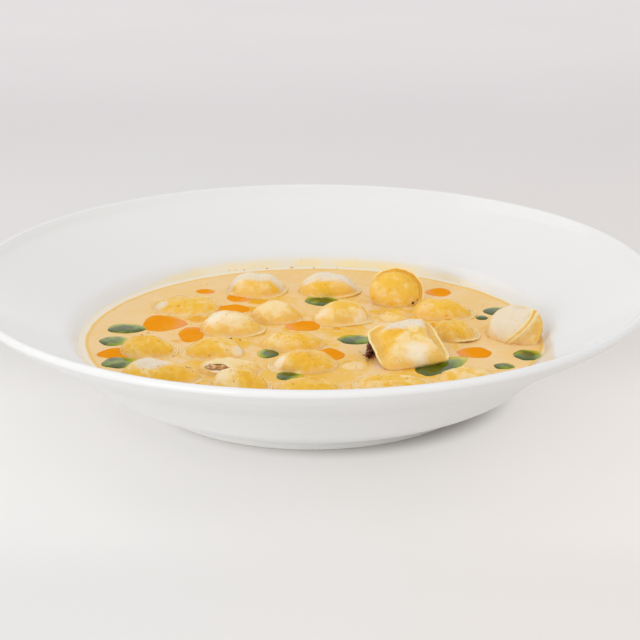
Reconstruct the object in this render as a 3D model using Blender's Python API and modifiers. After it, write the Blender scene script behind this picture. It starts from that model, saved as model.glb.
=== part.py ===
"""Manti dumplings in a creamy soup, with the wide-rimmed porcelain plate that holds them.

The origin is the middle of the foot ring on the table, +Z is up and -Y faces the diner.
The plate is one turned piece, the soup is a turned solid with a pocket for everything
that floats in it, and each dumpling, bit of filling and drop of oil is its own piece.
"""
from collections import namedtuple
from math import asin, atan2, cos, degrees, hypot, pi, radians, sin, sqrt

import bmesh
import bpy
from mathutils import Matrix, Vector

MM = 0.001
GAP = 0.3 * MM
POCKET_GAP = 0.36 * MM
MERGE = 0.00001
TURNED_STEPS = 60

# The plate: a flat floor, a well wall that is part of an ellipse, and a broad sloping rim.
RIM_RADIUS = 150.0 * MM
PLATE_HEIGHT = 54.3 * MM
LIP_RADIUS = 2.2 * MM
LIP_START_ANGLE = 125.0
LIP_END_ANGLE = -60.0
LIP_STEPS = 4
LIP_DROP = 1.3 * MM
RIM_START_RADIUS = 106.4 * MM
RIM_START_HEIGHT = 31.0 * MM
RIM_SAG = 1.2 * MM
RIM_THICKNESS = 5.0 * MM
RIM_STEPS = 3
FLOOR_RADIUS = 60.0 * MM
FLOOR_HEIGHT = 9.0 * MM
WELL_WIDTH = 47.8 * MM
WELL_DEPTH = 31.0 * MM
WELL_BOTTOM_ANGLE = -90.0
WELL_TOP_ANGLE = -21.0
WELL_STEPS = 4
WALL_THICKNESS = 5.5 * MM
OUTER_WALL_TOP_ANGLE = -24.0
OUTER_WALL_BOTTOM_ANGLE = -70.0
OUTER_WALL_STEPS = 4
FOOT_OUTER_RADIUS = 74.6 * MM
FOOT_INNER_RADIUS = 69.4 * MM
FOOT_HEIGHT = 3.2 * MM
FOOT_EDGE = 0.7 * MM
UNDERSIDE_HEIGHT = 4.4 * MM

SOUP_LEVEL = 25.2 * MM

# Dough pieces: the mesh is a globe whose two middle rings are the edges of the hem.
DOUGH_SIDES = 14
SQUARE_DOUGH_SIDES = 16
SQUARE_FROM = 3.0
DOUGH_RINGS = 9
RING_STEP = 180.0 / DOUGH_RINGS
HEM_THICKNESS = 1.8 * MM
HEM_FADE = 35.0
HEM_WAVE = 0.5 * MM
UNEVENNESS = 0.06
WALL_MARGIN = 1.8 * MM

DROP_SIDES = 10
DROP_RINGS = 3
DROP_TOP = 0.7 * MM
DROP_DEPTH = 1.1 * MM

PORCELAIN = (0.83, 0.83, 0.82)
CREAM_SOUP = (0.89, 0.60, 0.28)
DOUGH = (0.86, 0.66, 0.34)
MINCED_FILLING = (0.25, 0.10, 0.04)
HERB_OIL = (0.05, 0.15, 0.04)
CHILI_OIL = (0.87, 0.27, 0.03)


def start_clean():
    """Empty the scene and open a collection for the dish and others for its cutters."""
    for old in list(bpy.data.objects):
        bpy.data.objects.remove(old, do_unlink=True)
    dish = bpy.data.collections.new("manti_dumplings")
    cutters = bpy.data.collections.new("cutters")
    bpy.context.scene.collection.children.link(dish)
    bpy.context.scene.collection.children.link(cutters)
    dough_pockets = bpy.data.collections.new("dough_pockets")
    small_pockets = bpy.data.collections.new("small_pockets")
    cutters.children.link(dough_pockets)
    cutters.children.link(small_pockets)
    return dish, cutters, dough_pockets, small_pockets


def make_material(name, colour, roughness):
    material = bpy.data.materials.new(name)
    material.use_nodes = True
    shader = material.node_tree.nodes["Principled BSDF"]
    shader.inputs["Base Color"].default_value = (*colour, 1.0)
    shader.inputs["Roughness"].default_value = roughness
    shader.inputs["Metallic"].default_value = 0.0
    return material


def add_object(name, mesh, collection, material=None):
    piece = bpy.data.objects.new(name, mesh)
    collection.objects.link(piece)
    if material is not None:
        mesh.materials.append(material)
    return piece


def mesh_from(bm, name):
    """A mesh whose faces are split alike in a piece and in the cutter of its pocket."""
    bmesh.ops.triangulate(bm, faces=bm.faces, quad_method="FIXED")
    mesh = bpy.data.meshes.new(name)
    bm.to_mesh(mesh)
    bm.free()
    mesh.shade_smooth()
    mesh.set_sharp_from_angle(angle=radians(40))
    return mesh


def add_cutter(name, mesh, collection):
    cutter = add_object(name, mesh, collection)
    cutter.hide_render = True
    cutter.display_type = "WIRE"
    return cutter


def cut_away(piece, cutter=None, collection=None):
    """Subtract one object, or every object of a collection, from a piece."""
    cut = piece.modifiers.new("cut", "BOOLEAN")
    cut.operation = "DIFFERENCE"
    cut.solver = "EXACT"
    if collection is not None:
        cut.operand_type = "COLLECTION"
        cut.collection = collection
    else:
        cut.object = cutter


def ellipse_arc(centre, radii, start, end, steps):
    """Points (radius, height) along an ellipse, from one angle in degrees to another."""
    points = []
    for step in range(steps + 1):
        angle = radians(start + (end - start) * step / steps)
        points.append((centre[0] + radii[0] * cos(angle), centre[1] + radii[1] * sin(angle)))
    return points


def turned(name, profile, collection, material):
    """Turn a profile of (radius, height) points about Z into a closed solid."""
    bm = bmesh.new()
    ring = [bm.verts.new((radius, 0.0, height)) for radius, height in profile]
    for first, second in zip(ring, ring[1:]):
        bm.edges.new((first, second))
    piece = add_object(name, mesh_from(bm, name), collection, material)
    screw = piece.modifiers.new("turn", "SCREW")
    screw.axis = "Z"
    screw.angle = 2.0 * pi
    screw.steps = TURNED_STEPS
    screw.render_steps = TURNED_STEPS
    screw.use_merge_vertices = True
    screw.merge_threshold = MERGE
    screw.use_smooth_shade = True
    return piece


def well_centre():
    return (FLOOR_RADIUS, FLOOR_HEIGHT + WELL_DEPTH)


def soup_angle():
    """Angle on the well wall's ellipse at which the soup's surface meets it."""
    return degrees(asin((SOUP_LEVEL - well_centre()[1]) / (WELL_DEPTH - GAP)))


def rim_height(radius):
    """Height of the rim's upper face: a straight slope that sags a little in the middle."""
    rim_end = RIM_RADIUS - LIP_RADIUS
    rim_end_height = PLATE_HEIGHT - LIP_DROP
    share = (radius - RIM_START_RADIUS) / (rim_end - RIM_START_RADIUS)
    straight = RIM_START_HEIGHT + (rim_end_height - RIM_START_HEIGHT) * share
    return straight - 4.0 * RIM_SAG * share * (1.0 - share)


def plate_profile():
    """Outline from the middle of the floor, over the lip and down to the underside."""
    centre = well_centre()
    inner = (WELL_WIDTH, WELL_DEPTH)
    outer = (WELL_WIDTH + WALL_THICKNESS, WELL_DEPTH + WALL_THICKNESS)
    lip_centre = (RIM_RADIUS - LIP_RADIUS, PLATE_HEIGHT - LIP_RADIUS)
    rim_width = lip_centre[0] - RIM_START_RADIUS
    points = [(0.0, FLOOR_HEIGHT)]
    points += ellipse_arc(centre, inner, WELL_BOTTOM_ANGLE, soup_angle(), WELL_STEPS)
    points += ellipse_arc(centre, inner, soup_angle(), WELL_TOP_ANGLE, 1)[1:]
    for step in range(RIM_STEPS):
        radius = RIM_START_RADIUS + rim_width * step / RIM_STEPS
        points.append((radius, rim_height(radius)))
    lip = (LIP_RADIUS, LIP_RADIUS)
    points += ellipse_arc(lip_centre, lip, LIP_START_ANGLE, LIP_END_ANGLE, LIP_STEPS)
    for step in range(RIM_STEPS - 1, 0, -1):
        radius = RIM_START_RADIUS + rim_width * step / RIM_STEPS
        points.append((radius, rim_height(radius) - RIM_THICKNESS))
    points += ellipse_arc(
        centre, outer, OUTER_WALL_TOP_ANGLE, OUTER_WALL_BOTTOM_ANGLE, OUTER_WALL_STEPS
    )
    points.append((FOOT_OUTER_RADIUS + FOOT_EDGE, FOOT_HEIGHT))
    points.append((FOOT_OUTER_RADIUS, FOOT_EDGE))
    points.append((FOOT_OUTER_RADIUS - FOOT_EDGE, 0.0))
    points.append((FOOT_INNER_RADIUS + FOOT_EDGE, 0.0))
    points.append((FOOT_INNER_RADIUS, FOOT_EDGE))
    points.append((FOOT_INNER_RADIUS - FOOT_EDGE, UNDERSIDE_HEIGHT))
    points.append((0.0, UNDERSIDE_HEIGHT))
    return points


def soup_profile():
    """Outline of the soup: flat on top, then down along the well wall at a small gap."""
    radii = (WELL_WIDTH - GAP, WELL_DEPTH - GAP)
    points = [(0.0, SOUP_LEVEL)]
    points += ellipse_arc(well_centre(), radii, soup_angle(), WELL_BOTTOM_ANGLE, WELL_STEPS)
    points.append((0.0, FLOOR_HEIGHT + GAP))
    return points


def inside_well(point, margin):
    """Press a point of soft dough away from the well's wall and floor."""
    x, y, z = point
    centre_radius, centre_height = well_centre()
    z = max(z, FLOOR_HEIGHT + margin)
    depth = min(max((centre_height - z) / WELL_DEPTH, 0.0), 1.0)
    wall = centre_radius + WELL_WIDTH * sqrt(1.0 - depth * depth) - margin
    radius = hypot(x, y)
    if radius > wall:
        x *= wall / radius
        y *= wall / radius
    return Vector((x, y, z))


# One dumpling. Sizes are in millimetres and angles in degrees: where it floats, its length and
# width over the hem, how far it domes above and below the hem, how high the hem lies over the
# soup, its spin in its own plane, how it is tipped towards the diner, leant to its right and
# turned about the upright, the width, middle and spread of the hem that was pinched shut, and
# how square its outline is.
Dumpling = namedtuple(
    "Dumpling",
    "number x y length width rise sink lift spin tip lean turn hem hem_at hem_span square",
)

DUMPLINGS = (
    Dumpling(1, -26, 64, 30, 25, 8.6, 7, 0.2, 0, 0, 0, 0, 2.4, 70, 330, 2.1),
    Dumpling(2, 8.5, 64, 30, 25, 8.4, 7, 0.2, 0, 0, 0, 0, 2.4, 20, 330, 2.1),
    Dumpling(3, 39, 48, 25, 24, 6.5, 6, 4.6, 0, 50, 6, 0, 2.6, 50, 230, 2.1),
    Dumpling(4, -58, 39, 33, 28, 6.6, 8, -0.4, -4, 0, 0, 0, 3.0, 180, 220, 2.2),
    Dumpling(5, -35, 7, 29, 23, 8.2, 7, -0.1, -10, 0, 0, 0, 3.0, -30, 190, 2.2),
    Dumpling(6, -15.5, 24, 25, 20, 7.6, 7, -0.3, 0, 0, 0, 0, 2.2, 0, 150, 2.1),
    Dumpling(7, 14, 22, 28, 22, 7.9, 7, 0.1, 12, 0, 0, 0, 3.0, -40, 190, 2.3),
    Dumpling(8, 60, 29, 29, 20, 7.2, 7, 0.0, -6, 0, 0, 0, 2.8, 30, 200, 2.2),
    Dumpling(9, 41.5, -30, 31, 30, 6.6, 7, 6.0, 27, 20, 0, 0, 3.6, 0, 360, 4.0),
    Dumpling(10, 63.5, -1, 22, 20, 7.2, 7, 0.2, -10, 0, 0, 0, 3.4, 0, 200, 2.4),
    Dumpling(11, 89, -3, 27, 24, 6.0, 9, 3.6, 0, 50, 0, -38, 2.8, 0, 300, 2.2),
    Dumpling(12, -70, -22, 26, 20, 6.9, 7, -0.1, -4, 0, 0, 0, 2.6, -10, 190, 2.2),
    Dumpling(13, -62, -54, 36, 23, 7.4, 7, -0.3, -8, 0, 0, 0, 3.0, 10, 200, 2.2),
    Dumpling(14, -43, -24, 28, 21, 6.6, 7, -0.2, 0, 0, 0, 0, 3.4, 195, 210, 2.2),
    Dumpling(15, -34, -46, 28, 18, 6.2, 7, -0.4, -4, 0, 0, 0, 2.2, 0, 140, 2.2),
    Dumpling(16, -28.5, -67.5, 26, 21, 7.9, 7, -0.1, 0, 0, 0, 0, 2.6, 0, 160, 2.2),
    Dumpling(17, -7, -14, 30, 20, 6.4, 7, -0.2, -4, 0, 0, 0, 2.8, 10, 190, 2.2),
    Dumpling(18, -3.5, -41, 31, 21, 7.0, 7, -0.1, 4, 0, 0, 0, 3.2, 175, 200, 2.3),
    Dumpling(19, 0, -72, 29, 21, 7.2, 7, -0.2, 0, 0, 0, 0, 2.8, 20, 180, 2.2),
    Dumpling(20, 33, -64, 34, 22, 4.8, 8, 0.2, 0, 0, 0, 0, 3.6, 90, 330, 2.5),
    Dumpling(21, 65.5, -54, 27, 20, 5.4, 6.5, -0.8, 12, 0, 0, 0, 2.0, 0, 100, 2.2),
    Dumpling(22, 37.5, 24.5, 15, 15, 6.2, 7, -0.6, 0, 0, 0, 0, 2.0, 0, 100, 2.1),
    Dumpling(23, 18, -40, 12, 14, 3.4, 7, -0.8, 0, 0, 0, 0, 1.6, 0, 100, 2.1),
)


def hem_share(dumpling, angle):
    """How much of the hem stands at this angle: 1 along its middle, fading to 0 at its ends."""
    away = abs((degrees(angle) - dumpling.hem_at + 180.0) % 360.0 - 180.0)
    share = min(max((dumpling.hem_span / 2.0 - away) / HEM_FADE, 0.0), 1.0)
    if dumpling.hem_span >= 360.0:
        share = 1.0
    return share * share * (3.0 - 2.0 * share)


def dough_point(dumpling, latitude, angle, grow):
    """A point of the dumpling, from its latitude and angle on the globe, in its own frame."""
    power = dumpling.square
    half_length = dumpling.length * MM / 2.0 + grow
    half_width = dumpling.width * MM / 2.0 + grow
    side = (abs(cos(angle)) / half_length) ** power + (abs(sin(angle)) / half_width) ** power
    outline = side ** (-1.0 / power)
    hem_half = HEM_THICKNESS / 2.0 + grow
    height = (dumpling.rise if latitude > 0 else dumpling.sink) * MM + grow
    steps = abs(latitude) - RING_STEP / 2.0
    # The underside is never seen: it closes one ring early.
    reach = 90.0 - RING_STEP / 2.0 - (RING_STEP if latitude < 0 else 0.0)
    # Folded side: the dough runs round in one bulge.
    bulge = radians(90.0 * min(steps / reach, 1.0))
    round_radius = outline * cos(bulge)
    round_height = max(hem_half, height * sin(bulge))
    # Pinched side: a flat hem with the filled belly standing behind it.
    if steps < 1.0:
        hem_radius = outline
        hem_height = hem_half
    else:
        belly = radians(90.0 * min((steps - RING_STEP) / (reach - RING_STEP), 1.0))
        hem_radius = (outline - dumpling.hem * MM) * cos(belly)
        hem_height = hem_half + (height - hem_half) * sin(belly)
    share = hem_share(dumpling, angle)
    radius = round_radius + (hem_radius - round_radius) * share
    rise = round_height + (hem_height - round_height) * share
    # Hand-made dough is a little uneven, and its hem waves.
    phase = 1.7 * dumpling.number
    rise *= 1.0 + UNEVENNESS * sin(2.0 * angle + phase) * radius / outline
    wave = HEM_WAVE * share * sin(3.0 * angle + phase) * max(0.0, 1.0 - steps / 45.0)
    up = rise if latitude > 0 else -rise
    return Vector((radius * cos(angle), radius * sin(angle), up + wave))


def dough_mesh(dumpling, name, grow=0.0):
    """The whole dumpling where it floats; grown all round, it is the cutter of its pocket."""
    place = (
        Matrix.Translation((dumpling.x * MM, dumpling.y * MM, SOUP_LEVEL + dumpling.lift * MM))
        @ Matrix.Rotation(radians(dumpling.turn), 4, "Z")
        @ Matrix.Rotation(radians(dumpling.tip), 4, "X")
        @ Matrix.Rotation(radians(dumpling.lean), 4, "Y")
        @ Matrix.Rotation(radians(dumpling.spin), 4, "Z")
    )
    bm = bmesh.new()
    sides = SQUARE_DOUGH_SIDES if dumpling.square > SQUARE_FROM else DOUGH_SIDES
    bmesh.ops.create_uvsphere(bm, u_segments=sides, v_segments=DOUGH_RINGS, radius=1.0)
    for vert in bm.verts:
        latitude = degrees(asin(min(max(vert.co.z, -1.0), 1.0)))
        angle = atan2(vert.co.y, vert.co.x)
        point = place @ dough_point(dumpling, latitude, angle, grow)
        vert.co = inside_well(point, WALL_MARGIN - grow)
    bmesh.ops.remove_doubles(bm, verts=bm.verts, dist=MERGE)
    return mesh_from(bm, name)


# The open dumpling's mouth and the bits of filling that show, in millimetres: the middle of
# each, measured from the plate's axis and the soup's surface, and its three half sizes.
MOUTH_MIDDLE = (-37.5, -53.6, 2.0)
MOUTH_HALF = (7.0, 6.5, 1.9)
MOUTH_FILLING_MIDDLE = (-37.5, -51.2, 2.0)
MOUTH_FILLING_HALF = (5.5, 3.5, 1.3)
MOUTH_FILLING_BUMPS = 0.12
LOOSE_FILLING_MIDDLE = (26.0, -31.0, 1.2)
LOOSE_FILLING_HALF = (3.2, 3.6, 3.4)
LOOSE_FILLING_BUMPS = 0.15
OPEN_DUMPLING = 15
TORN_DUMPLING = 9
LUMP_SIDES = 10
LUMP_RINGS = 6


def lump_mesh(name, middle, half, bumps=0.0, grow=0.0):
    """A rounded lump, with small bumps where it is minced filling."""
    centre = Vector((middle[0] * MM, middle[1] * MM, SOUP_LEVEL + middle[2] * MM))
    bm = bmesh.new()
    bmesh.ops.create_uvsphere(bm, u_segments=LUMP_SIDES, v_segments=LUMP_RINGS, radius=1.0)
    for vert in bm.verts:
        x, y, z = vert.co
        swell = 1.0 + bumps * sin(5.0 * x + 2.0) * sin(6.0 * y + 1.0) * cos(4.0 * z)
        reach = [size * MM * swell + grow for size in half]
        vert.co = centre + Vector((x * reach[0], y * reach[1], z * reach[2]))
    return mesh_from(bm, name)


# One drop of oil on the soup, in millimetres and degrees: its place, length, width, turn and
# how much it narrows towards its far end.
Drop = namedtuple("Drop", "number x y length width turn taper")

HERB_DROPS = (
    Drop(1, -82, 6.5, 17, 13, 0, 0.1),
    Drop(2, -86, -9, 14, 12, 0, 0.0),
    Drop(3, -81, -38, 15, 12, 0, 0.2),
    Drop(4, 5, 45, 16, 15, 0, 0.0),
    Drop(5, 19, -6, 15, 12, 0, 0.0),
    Drop(6, -19, -26, 9, 9, 0, 0.0),
    Drop(7, -10, -56, 9, 7, 0, 0.3),
    Drop(8, 57, -42, 24, 12, 32, 0.15),
    Drop(9, 83, 31, 15, 12, 0, 0.0),
    Drop(10, 76, 23, 6, 6, 0, 0.0),
    Drop(11, 90, -29, 13, 12, 0, 0.1),
    Drop(12, 81, -43, 9, 7, 0, 0.2),
)

CHILI_DROPS = (
    Drop(1, -64.5, 14.5, 20, 16, 0, 0.3),
    Drop(2, -53, -1, 12, 15, 0, 0.0),
    Drop(3, -83, -24, 16, 12, 0, 0.1),
    Drop(4, -34, 49, 12, 12, 0, 0.1),
    Drop(5, -50, 62, 9, 6, 0, 0.0),
    Drop(6, -41, 32, 15, 12, 10, 0.0),
    Drop(7, -4, 9, 16, 13, 0, 0.0),
    Drop(8, 9, -28, 12, 13, 0, 0.0),
    Drop(9, 59, 58, 13, 12, 0, -0.1),
    Drop(10, 70, -25, 15, 13, 0, -0.2),
)


def drop_mesh(drop, name, grow=0.0):
    """A flat lens of oil that stands a little above the soup and hangs a little below it."""
    place = Matrix.Translation((drop.x * MM, drop.y * MM, SOUP_LEVEL))
    place @= Matrix.Rotation(radians(drop.turn), 4, "Z")
    bm = bmesh.new()
    bmesh.ops.create_uvsphere(bm, u_segments=DROP_SIDES, v_segments=DROP_RINGS, radius=1.0)
    for vert in bm.verts:
        x, y, z = vert.co
        # The globe's two rings are the lens's upright edge, and its poles are the middles.
        on_edge = hypot(x, y) > MERGE
        angle = atan2(y, x)
        reach_x = drop.length * MM / 2.0 + grow if on_edge else 0.0
        reach_y = drop.width * MM / 2.0 + grow if on_edge else 0.0
        narrow = 1.0 - drop.taper * cos(angle)
        height = (DROP_TOP + grow) * z if z > 0 else (DROP_DEPTH + grow) * z
        vert.co = place @ Vector((reach_x * cos(angle), reach_y * sin(angle) * narrow, height))
    return mesh_from(bm, name)


def build():
    dish, cutters, dough_pockets, small_pockets = start_clean()
    porcelain = make_material("porcelain", PORCELAIN, 0.12)
    cream = make_material("cream_soup", CREAM_SOUP, 0.25)
    dough = make_material("dough", DOUGH, 0.4)
    filling = make_material("minced_filling", MINCED_FILLING, 0.6)
    herb = make_material("herb_oil", HERB_OIL, 0.1)
    chili = make_material("chili_oil", CHILI_OIL, 0.1)

    turned("bowl", plate_profile(), dish, porcelain)
    broth = turned("broth", soup_profile(), dish, cream)

    for dumpling in DUMPLINGS:
        name = f"dumpling_{dumpling.number:02d}"
        piece = add_object(name, dough_mesh(dumpling, name), dish, dough)
        pocket = add_cutter(f"pocket_{name}", dough_mesh(dumpling, name, POCKET_GAP), dough_pockets)
        if dumpling.number == OPEN_DUMPLING:
            mouth = lump_mesh("mouth", MOUTH_MIDDLE, MOUTH_HALF)
            cut_away(piece, add_cutter("mouth", mouth, cutters))
        if dumpling.number == TORN_DUMPLING:
            torn_pocket = pocket

    name = "filling_open_dumpling"
    mesh = lump_mesh(name, MOUTH_FILLING_MIDDLE, MOUTH_FILLING_HALF, MOUTH_FILLING_BUMPS)
    add_object(name, mesh, dish, filling)

    name = "filling_torn_dumpling"
    mesh = lump_mesh(name, LOOSE_FILLING_MIDDLE, LOOSE_FILLING_HALF, LOOSE_FILLING_BUMPS)
    cut_away(add_object(name, mesh, dish, filling), torn_pocket)
    mesh = lump_mesh(name, LOOSE_FILLING_MIDDLE, LOOSE_FILLING_HALF, LOOSE_FILLING_BUMPS, POCKET_GAP)
    add_cutter(f"pocket_{name}", mesh, small_pockets)

    for kind, drops, oil in (("herb_oil", HERB_DROPS, herb), ("chili_oil", CHILI_DROPS, chili)):
        for drop in drops:
            name = f"{kind}_{drop.number:02d}"
            piece = add_object(name, drop_mesh(drop, name), dish, oil)
            cut_away(piece, collection=dough_pockets)
            add_cutter(f"pocket_{name}", drop_mesh(drop, name, POCKET_GAP), small_pockets)

    cut_away(broth, collection=dough_pockets)
    cut_away(broth, collection=small_pockets)


build()
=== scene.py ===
from collections import namedtuple
from math import asin, atan2, cos, degrees, exp, hypot, pi, radians, sin, sqrt
from random import Random

import bpy
from mathutils import Matrix, Vector, noise
from mathutils.bvhtree import BVHTree


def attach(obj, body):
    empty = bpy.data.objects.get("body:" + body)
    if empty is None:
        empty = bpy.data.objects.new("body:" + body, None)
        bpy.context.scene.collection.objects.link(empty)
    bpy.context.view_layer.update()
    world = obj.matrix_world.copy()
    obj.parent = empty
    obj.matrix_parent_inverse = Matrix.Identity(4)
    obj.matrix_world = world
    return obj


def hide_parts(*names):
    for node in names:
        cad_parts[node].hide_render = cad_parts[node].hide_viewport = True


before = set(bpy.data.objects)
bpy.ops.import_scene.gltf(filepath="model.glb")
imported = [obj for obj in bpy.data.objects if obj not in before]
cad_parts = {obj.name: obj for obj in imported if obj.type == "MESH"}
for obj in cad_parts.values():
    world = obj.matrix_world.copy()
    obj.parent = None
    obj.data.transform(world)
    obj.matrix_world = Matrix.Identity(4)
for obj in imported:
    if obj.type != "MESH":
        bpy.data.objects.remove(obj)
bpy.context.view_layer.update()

# The plate: one turned piece of white porcelain with a deep well, a broad rim and a foot ring.
# It is thrown ring by ring, glazed all over but for the foot that stands in the kiln, and the
# soup's fat has left a thin yellow film on the well wall just above the soup.
MM = 0.001
RIM_RADIUS = 150.0 * MM
PLATE_HEIGHT = 54.3 * MM
LIP_RADIUS = 1.8 * MM
LIP_DROP = 1.3 * MM
LIP_ANGLES = (125.0, -60.0)
LIP_STEPS = 14
RIM_START_RADIUS = 106.4 * MM
RIM_START_HEIGHT = 31.0 * MM
RIM_SAG = 1.2 * MM
RIM_THICKNESS = 3.7 * MM
RIM_THICKENING = 1.3 * MM
RIM_STEPS = 14
UNDER_RIM_LAST_STEP = 5
WELL_CENTRE = (60.0 * MM, 40.0 * MM)
WELL_WIDTH = 47.8 * MM
WELL_DEPTH = 31.0 * MM
WELL_ANGLES = (-90.0, -23.0)
WELL_STEPS = 22
BEND_OUT = 1.6 * MM
BEND_IN = 1.0 * MM
BEND_STEPS = 5
WALL_THICKNESS = 5.5 * MM
OUTER_WALL_ANGLES = (-44.0, -70.0)
OUTER_WALL_STEPS = 16
UNDER_BEND = (109.5 * MM, 25.5 * MM)
UNDER_BEND_STEPS = 12
FLOOR_HEIGHT = 9.0 * MM
FLOOR_RINGS = (20.0 * MM, 40.0 * MM)
FOOT_OUTER_RADIUS = 74.6 * MM
FOOT_INNER_RADIUS = 69.4 * MM
FOOT_HEIGHT = 3.2 * MM
FOOT_EDGE = 0.7 * MM
FOOT_TAPER = 1.5 * MM
FOOT_STEPS = 4
UNDERSIDE_HEIGHT = 4.4 * MM
UNDERSIDE_RING = 35.0 * MM
AXIS_RADIUS = 1.0 * MM
PLATE_SIDES = 300
MERGE = 0.01 * MM


def deselect_all():
    if bpy.context.object and bpy.context.object.mode != "OBJECT":
        bpy.ops.object.mode_set(mode="OBJECT")
    bpy.ops.object.select_all(action="DESELECT")


def just_added(name):
    """The piece that was added last, under its own name."""
    piece = bpy.context.object
    piece.name = name
    piece.data.name = name
    return piece


def keep_values(piece, name, values):
    """Keep one value for each point of a piece, for its finish to read."""
    layer = piece.data.attributes.new(name, "FLOAT", "POINT")
    layer.data.foreach_set("value", values)


def dressed(piece, finish, nodes=()):
    """Give a finished piece its material, its place on the part and the nodes it stands for."""
    piece.data.materials.clear()
    piece.data.materials.append(finish)
    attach(piece, "root")
    if nodes:
        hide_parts(*nodes)


def elliptic(centre, radii, angles, steps):
    """Points (radius, height) along an ellipse, from one angle in degrees to another."""
    points = []
    for step in range(steps + 1):
        angle = radians(angles[0] + (angles[1] - angles[0]) * step / steps)
        points.append((centre[0] + radii[0] * cos(angle), centre[1] + radii[1] * sin(angle)))
    return points


def rim_height(radius):
    """Height of the rim's upper face: a straight slope that sags a little in the middle."""
    rim_end = RIM_RADIUS - LIP_RADIUS
    rim_end_height = PLATE_HEIGHT - LIP_DROP
    share = (radius - RIM_START_RADIUS) / (rim_end - RIM_START_RADIUS)
    straight = RIM_START_HEIGHT + (rim_end_height - RIM_START_HEIGHT) * share
    return straight - 4.0 * RIM_SAG * share * (1.0 - share)


def thrown(name, profile, sides):
    """A turned piece: a ring is drawn through every point (radius, height) of its profile."""
    deselect_all()
    radius, height = profile[0]
    bpy.ops.mesh.primitive_circle_add(vertices=sides, radius=radius, location=(0.0, 0.0, height))
    piece = just_added(name)
    bpy.ops.object.transform_apply(location=True, rotation=True, scale=True)
    bpy.ops.object.mode_set(mode="EDIT")
    bpy.ops.mesh.select_all(action="SELECT")
    for next_radius, next_height in profile[1:]:
        rise = (0.0, 0.0, next_height - height)
        bpy.ops.mesh.extrude_region_move(TRANSFORM_OT_translate={"value": rise})
        spread = next_radius / radius
        middle = (0.0, 0.0, next_height)
        bpy.ops.transform.resize(value=(spread, spread, 1.0), center_override=middle)
        radius, height = next_radius, next_height
    # Both ends come down to a small ring round the axis, which closes to a point.
    bpy.ops.mesh.merge(type="CENTER")
    bpy.ops.mesh.select_all(action="DESELECT")
    bpy.ops.object.mode_set(mode="OBJECT")
    for vert in piece.data.vertices:
        at_start = abs(vert.co.z - profile[0][1]) < MERGE
        vert.select = at_start and hypot(vert.co.x, vert.co.y) < profile[0][0] + MERGE
    bpy.ops.object.mode_set(mode="EDIT")
    bpy.ops.mesh.merge(type="CENTER")
    bpy.ops.mesh.select_all(action="SELECT")
    bpy.ops.mesh.normals_make_consistent(inside=False)
    bpy.ops.object.mode_set(mode="OBJECT")
    bpy.ops.object.shade_smooth()
    return piece


def rounded_bend(start, corner, end, steps=BEND_STEPS):
    """Points of a smooth bend from one profile point to another, round the corner between."""
    points = []
    for number in range(1, steps):
        step = number / steps
        pull = (1.0 - step) ** 2, 2.0 * step * (1.0 - step), step ** 2
        sides = zip(start, corner, end)
        points.append(tuple(pull[0] * a + pull[1] * b + pull[2] * c for a, b, c in sides))
    return points


def plate_profile():
    """Outline from the middle of the floor, over the lip and down to the underside."""
    lip_centre = (RIM_RADIUS - LIP_RADIUS, PLATE_HEIGHT - LIP_RADIUS)
    rim_width = lip_centre[0] - RIM_START_RADIUS
    points = [(radius, FLOOR_HEIGHT) for radius in (AXIS_RADIUS, *FLOOR_RINGS)]
    points += elliptic(WELL_CENTRE, (WELL_WIDTH, WELL_DEPTH), WELL_ANGLES, WELL_STEPS)
    # The bend from the steep wall to the rim is drawn over a rib, so it is round.
    rim_radius = RIM_START_RADIUS + BEND_OUT
    rim_end = (rim_radius, rim_height(rim_radius))
    bend = (RIM_START_RADIUS - BEND_IN, RIM_START_HEIGHT - BEND_IN)
    points += rounded_bend(points[-1], bend, rim_end)
    for step in range(RIM_STEPS):
        radius = rim_radius + (lip_centre[0] - rim_radius) * step / RIM_STEPS
        points.append((radius, rim_height(radius)))
    points += elliptic(lip_centre, (LIP_RADIUS, LIP_RADIUS), LIP_ANGLES, LIP_STEPS)
    for step in range(RIM_STEPS - 1, UNDER_RIM_LAST_STEP - 1, -1):
        share = step / RIM_STEPS
        radius = RIM_START_RADIUS + rim_width * share
        points.append((radius, rim_height(radius) - RIM_THICKNESS - RIM_THICKENING * (1.0 - share)))
    outer = (WELL_WIDTH + WALL_THICKNESS, WELL_DEPTH + WALL_THICKNESS)
    outer_wall = elliptic(WELL_CENTRE, outer, OUTER_WALL_ANGLES, OUTER_WALL_STEPS)
    points += rounded_bend(points[-1], UNDER_BEND, outer_wall[0], UNDER_BEND_STEPS)
    points += outer_wall
    # The foot tucks in a little where it meets the table.
    points.append((FOOT_OUTER_RADIUS + FOOT_EDGE, FOOT_HEIGHT))
    foot_bead = (FOOT_EDGE, FOOT_EDGE)
    foot_end = FOOT_OUTER_RADIUS - FOOT_TAPER - FOOT_EDGE
    points += elliptic((foot_end, FOOT_EDGE), foot_bead, (0.0, -90.0), FOOT_STEPS)
    foot_start = (FOOT_INNER_RADIUS + FOOT_EDGE, FOOT_EDGE)
    points += elliptic(foot_start, foot_bead, (-90.0, -180.0), FOOT_STEPS)
    points.append((FOOT_INNER_RADIUS - 0.5 * FOOT_EDGE, UNDERSIDE_HEIGHT - FOOT_EDGE))
    points.append((FOOT_INNER_RADIUS - 2.0 * FOOT_EDGE, UNDERSIDE_HEIGHT))
    points.append((UNDERSIDE_RING, UNDERSIDE_HEIGHT))
    points.append((AXIS_RADIUS, UNDERSIDE_HEIGHT))
    return points


def new_finish(name):
    """A new material, its nodes and its shader."""
    finish = bpy.data.materials.new(name)
    finish.use_nodes = True
    tree = finish.node_tree
    return finish, tree, tree.nodes["Principled BSDF"]


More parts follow.
